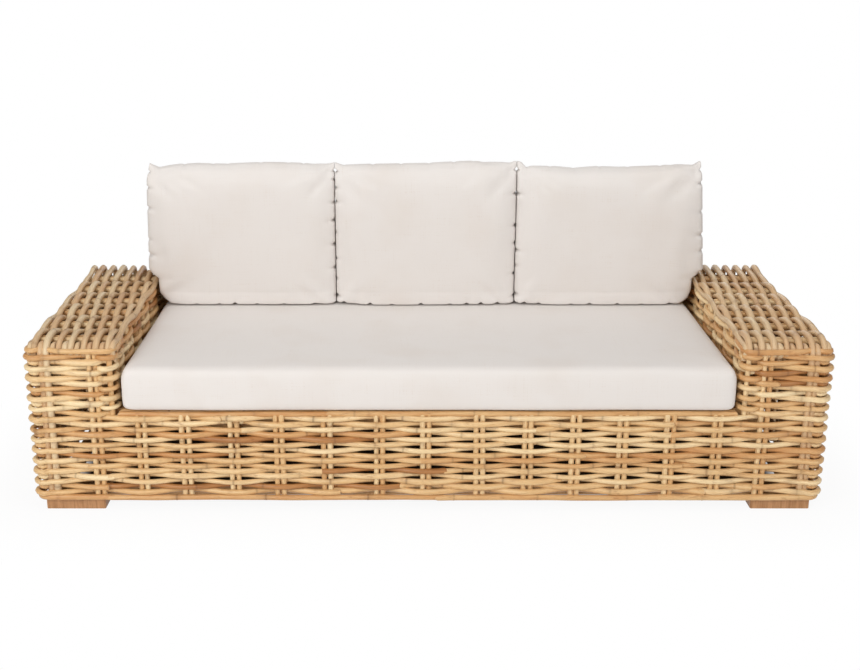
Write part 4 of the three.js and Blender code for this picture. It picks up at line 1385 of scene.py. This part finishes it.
        # Lower corners are rounded, most by the arms, and upper ones stay square
        radius = np.where(places[:, 0] * outer > 0, sizes.low_corner, sizes.inner_corner)
        beyond_x = np.maximum(np.abs(places[:, 0]) - half[0] + radius, 0)
        beyond_z = np.maximum(-places[:, 2] - half[2] + radius, 0)
        far = np.maximum(np.hypot(beyond_x, beyond_z), 1e-9)
        share = np.where((beyond_x > 0) & (beyond_z > 0), np.maximum(beyond_x, beyond_z) / far, 1.0)
        places[:, 0] += np.sign(places[:, 0]) * beyond_x * (share - 1)
        places[:, 2] -= beyond_z * (share - 1)
        return places

    def stretched(self, places, limit, outer, sizes):
        """Moves both sides out to the limit at every height above the lower corners."""
        above = places[:, 2] - places[:, 2].min()
        index = (above / self.BAND).astype(int)
        for sign in (-1.0, 1.0):
            reach = np.zeros(index.max() + 1)
            np.maximum.at(reach, index, sign * places[:, 0])
            reach = np.interp(above, (np.arange(len(reach)) + 0.5) * self.BAND, reach)
            corner = sizes.low_corner if sign == outer else sizes.inner_corner
            share = clipped(sign * places[:, 0] / reach) ** 4 * clipped(above / corner - 0.3)
            places[:, 0] += sign * (limit - reach) * share
        return places

    def stitches(self, rnd, half):
        """Places round the seam: x, z, the way inward, the depth, and how far through a stitch goes."""
        found = []
        for axis in (0, 1):
            reach, edge = (half[2], half[0]) if axis == 0 else (half[0], half[2])
            for sign in (-1.0, 1.0):
                at = -reach + rnd.uniform(*self.FIRST_STITCH) * MM
                while at < reach - self.LAST_STITCH * MM:
                    depth = rnd.uniform(0.35, 1.0)
                    if axis == 0:
                        found.append((sign * edge, at, -sign, 0.0, depth, 0.15))
                    else:
                        found.append((at, sign * edge, 0.0, -sign, depth * (0.35 if sign > 0 else 0.8), 1.0))
                    at += rnd.uniform(*self.NEXT_STITCH) * MM
        for sign in (-1.0, 1.0):
            found.append((sign * half[0], half[2] - 25 * MM, -sign, 0.0, rnd.uniform(0.6, 1.3), 1.0))
        return np.array(found)

    def pucker(self, places, stitches, sizes, half):
        """Draws the seam in at each stitch, with a fold out over the panels, and points the corners."""
        inward = np.zeros_like(places)
        side, thick = np.sign(places), np.abs(places[:, 1])
        for x, z, way_x, way_z, depth, through in stitches:
            across = np.abs(way_z) * (places[:, 0] - x) + np.abs(way_x) * (places[:, 2] - z)
            along = (places[:, 0] - x) * way_x + (places[:, 2] - z) * way_z
            width = self.NOTCH + self.NOTCH_SPREAD * np.maximum(along, 0)
            fold = self.FOLD + self.FOLD_BY_DEPTH * depth
            notch = depth * np.exp(-((across / width) ** 2)) * np.exp(-np.maximum(along, 0) / fold)
            pull = notch * sizes.pucker * np.clip(thick / self.SEAM_HALF, through, 1)
            inward[:, 0] += way_x * pull
            inward[:, 2] += way_z * pull
            inward[:, 1] -= side[:, 1] * notch * self.FOLD_DEPTH * clipped(along / self.SEAM_HALF)
        ear = clipped((np.abs(places[:, 0]) - half[0] + self.EAR_REACH) / self.EAR_REACH)
        ear = ear * clipped((places[:, 2] - half[2] + self.EAR_REACH) / self.EAR_REACH)
        inward[:, 0] += side[:, 0] * ear ** 2 * sizes.ear
        inward[:, 2] += ear ** 2 * sizes.ear
        inward[:, 1] -= places[:, 1] * ear * 0.6
        return places + inward

    def swell(self, above, top, place):
        """How far the cover swells out at heights above the arm, up to its own top."""
        low, high = self.SWELLS[place]
        rise = clipped((above + self.SWELL_BELOW) / self.SWELL_RISE)
        out = np.interp(above / top, (0.0, 0.85, 1.0), (low, high, high / 2)) * MM
        return out * rise ** 2 * (3 - 2 * rise)


class SOFA_OT_seat_cushion(bpy.types.Operator):
    """Sew and fill the long seat cushion"""

    bl_idname = "sofa.seat_cushion"
    bl_label = "Seat cushion"

    # How much smaller the cover starts than its space
    SMALLER = np.array([0.8, 3.0, 0.8]) * MM
    # Shares of the edge's radius round the top, at the upright corners and round the bottom
    TOP_EDGE, CORNER_EDGE, BOTTOM_EDGE = 1.0, 0.4, 0.25
    EDGE_SEGMENTS = 6
    # Seeds, heights and lengths of the dents in the top and in the front
    TOP_DENTS, FRONT_DENTS = (31, 1.2 * MM, 0.45), (32, 1.5 * MM, 0.40)
    # How far the front swells towards the arms
    SWELL = 5 * MM

    def execute(self, context):
        scene = context.scene
        sizes = scene.sofa_cushions
        low, high = (np.array(c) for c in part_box("seat_cushion"))
        centre, space = (low + high) / 2, (high - low) / 2
        half = space - self.SMALLER
        piece = block("seat_cushion_cover", half)
        self.round_edges(piece, sizes.seat_edge)
        remesh(piece, sizes.seat_detail)
        at = np.abs(coordinates(piece)) > half - sizes.seat_edge
        fill(piece, sizes, at[:, 2] & (at[:, 0] | at[:, 1]), sizes.seat_reach)
        soften(piece)
        places = coordinates(piece)
        places[:, 2] += clipped(places[:, 2] / half[2]) * rippled(places, *self.TOP_DENTS)
        places[:, 1] += clipped(-places[:, 1] / half[1]) ** 4 * rippled(places, *self.FRONT_DENTS)
        places = fit(places, low - centre + 0.6 * MM, high - centre - 0.8 * MM, np.full(3, 2 * MM))
        forward = clipped(0.5 - places[:, 1] / half[1] / 2)
        places[:, 0] += self.SWELL * forward * (places[:, 0] / half[0]) ** 5
        cover = linen("slubbed_linen_seat", scene.sofa_colours)
        upholster(piece, places + centre, cover, "seat_cushion")
        return {"FINISHED"}

    def round_edges(self, piece, radius):
        """Rounds the box: most round the top, less at its upright corners, least round the bottom."""
        mesh, places = piece.data, coordinates(piece)
        weights = mesh.attributes.new("bevel_weight_edge", "FLOAT", "EDGE")
        for edge in mesh.edges:
            one, other = (places[v][2] for v in edge.vertices)
            share = self.BOTTOM_EDGE if one < 0 else self.TOP_EDGE
            weights.data[edge.index].value = self.CORNER_EDGE if abs(one - other) > 1 * MM else share
        rounding = piece.modifiers.new("edge", "BEVEL")
        rounding.width = radius
        rounding.segments = self.EDGE_SEGMENTS
        rounding.limit_method = "WEIGHT"
        settle(piece)


class SOFA_OT_stage(bpy.types.Operator):
    """Set the floor, the lights and the camera"""

    bl_idname = "sofa.stage"
    bl_label = "Stage"

    # Square soft lights: place, the height over the middle of the floor that each faces, width, and power
    LIGHTS = {
        "key_light": ((-2.6, -4.6, 2.9), 0.45, 3.2, 600),
        "fill_light": ((3.6, -3.6, 2.6), 0.45, 3.2, 210),
        "top_light": ((0.0, -0.4, 4.2), 0.4, 3.6, 170),
        "rear_light": ((0.8, 4.6, 2.4), 0.6, 3.2, 160),
    }
    # The painted shade under the sofa, a dark floor colour: how far inside the sofa's plan it begins to fade,
    # and over what distance
    SHADE_INSET = (0.1, 0.16)
    SHADE_FADE = 0.08
    # The share of plain white in what the camera sees rises from the least to 1 between these distances
    CLEAR_FROM, CLEAR_TO, CLEAR_LEAST = 0.16, 0.5, 0.92
    FLOOR_HALF = 40

    def execute(self, context):
        scene, stage = context.scene, context.scene.sofa_stage
        shape = bmesh.new()
        bmesh.ops.create_grid(shape, x_segments=1, y_segments=1, size=self.FLOOR_HALF)
        floor = from_shape("studio_floor", shape)
        floor.data.materials.append(self.floor_material(scene.sofa_colours))
        self.world(scene, stage)
        for name, (place, aim, width, power) in self.LIGHTS.items():
            lamp = bpy.data.lights.new(name, "AREA")
            lamp.shape = "SQUARE"
            lamp.size = width
            lamp.energy = power * stage.key
            light = placed(name, lamp)
            light.location = place
            light.rotation_euler = (Vector((0, 0, aim)) - Vector(place)).to_track_quat("-Z", "Y").to_euler()
        lens = bpy.data.cameras.new("camera")
        lens.sensor_width = 36
        lens.lens = stage.lens
        lens.shift_x = stage.shift
        camera = placed("camera", lens)
        camera.location = stage.camera_place
        camera.rotation_euler = (math.pi / 2 - stage.camera_pitch, 0, 0)
        scene.camera = camera
        scene.view_settings.view_transform = "Standard"
        return {"FINISHED"}

    def floor_material(self, colours):
        """Matt white seamless studio floor: nearly pure white to the camera, with the sofa's shadow on it and
        a painted shade, a dark floor colour, under the sofa.
        """
        material, tree = new_material("matt_white_studio_floor")
        path = add_node(tree, "ShaderNodeLightPath").outputs
        place = add_node(tree, "ShaderNodeTexCoord").outputs["Object"]
        # Distance in plan from a rectangle inside the sofa's
        inner = (half_width - self.SHADE_INSET[0], half_depth - self.SHADE_INSET[1], 0.0)
        apart = add_node(tree, "ShaderNodeVectorMath", {0: place}, operation="ABSOLUTE")
        apart = add_node(tree, "ShaderNodeVectorMath", {0: apart}, {1: inner}, operation="SUBTRACT")
        apart = add_node(tree, "ShaderNodeVectorMath", {0: apart}, {1: (0.0, 0.0, 0.0)}, operation="MAXIMUM")
        apart = add_node(tree, "ShaderNodeVectorMath", {0: apart}, operation="LENGTH").outputs["Value"]
        out, clear = (
            add_node(
                tree, "ShaderNodeMapRange", {"Value": apart},
                {"From Min": start, "From Max": end, "To Min": least}, interpolation_type="SMOOTHSTEP",
            )
            for start, end, least in (
                (0.0, self.SHADE_FADE, 0.0), (self.CLEAR_FROM, self.CLEAR_TO, self.CLEAR_LEAST),
            )
        )
        # Painted shade: the floor's colour turns dark under the sofa, where there is only shade
        white = add_node(
            tree, "ShaderNodeMix", {0: out}, {6: linear(colours.painted_shade_under_sofa), 7: linear(colours.floor)},
            data_type="RGBA",
        ).outputs[2]
        # Only what the camera sees, straight, mirrored or through something, is brightened
        share = path["Is Camera Ray"]
        for source, operation in (
            (path["Is Glossy Ray"], "MAXIMUM"), (path["Is Transmission Ray"], "MAXIMUM"), (out, "MULTIPLY"),
            (clear, "MULTIPLY"),
        ):
            share = add_node(tree, "ShaderNodeMath", {0: share, 1: source}, operation=operation)
        matt = add_node(tree, "ShaderNodeBsdfDiffuse", {"Color": white})
        bright = add_node(tree, "ShaderNodeEmission", None, {"Color": (1, 1, 1, 1), "Strength": 1.0})
        mix = add_node(tree, "ShaderNodeMixShader", {0: share, 1: matt, 2: bright})
        add_node(tree, "ShaderNodeOutputMaterial", {"Surface": mix})
        return material

    def world(self, scene, stage):
        """Even white light from all round, seen as plain white."""
        world = bpy.data.worlds.new("studio")
        scene.world = world
        world.use_nodes = True
        tree = world.node_tree
        tree.nodes.clear()
        path = add_node(tree, "ShaderNodeLightPath").outputs
        seen = {0: path["Is Camera Ray"], 1: path["Is Transmission Ray"]}
        share = add_node(tree, "ShaderNodeMath", seen, operation="MAXIMUM")
        dim, white = (
            add_node(tree, "ShaderNodeBackground", None, {"Color": (1, 1, 1, 1), "Strength": strength})
            for strength in (stage.ambient, 1.0)
        )
        mix = add_node(tree, "ShaderNodeMixShader", {0: share, 1: dim, 2: white})
        add_node(tree, "ShaderNodeOutputWorld", {"Surface": mix})


class SOFA_PT_panel(bpy.types.Panel):
    """The sofa's steps and sizes, in the 3D view's sidebar"""

    bl_idname = "SOFA_PT_panel"
    bl_label = "Rattan garden sofa"
    bl_space_type = "VIEW_3D"
    bl_region_type = "UI"
    bl_category = "Sofa"

    def draw(self, context):
        for operator in OPERATORS:
            self.layout.operator(operator.bl_idname)
        for name in GROUPS:
            box, group = self.layout.box(), getattr(context.scene, name)
            for field in group.__annotations__:
                box.prop(group, field)


GROUPS = {
    "sofa_weave": SofaWeave, "sofa_cushions": SofaCushions, "sofa_colours": SofaColours,
    "sofa_stage": SofaStage,
}
OPERATORS = (
    SOFA_OT_walls, SOFA_OT_tops, SOFA_OT_finishes, SOFA_OT_seat_cushion, SOFA_OT_back_cushions,
    SOFA_OT_stage,
)
CLASSES = (*GROUPS.values(), *OPERATORS, SOFA_PT_panel)


def register():
    for cls in CLASSES:
        bpy.utils.register_class(cls)
    for name, group in GROUPS.items():
        setattr(bpy.types.Scene, name, bpy.props.PointerProperty(type=group))


def unregister():
    for name in GROUPS:
        delattr(bpy.types.Scene, name)
    for cls in reversed(CLASSES):
        bpy.utils.unregister_class(cls)


def main():
    register()
    for operator in OPERATORS:
        group, name = operator.bl_idname.split(".")
        getattr(getattr(bpy.ops, group), name)()


if __name__ == "__main__":
    main()
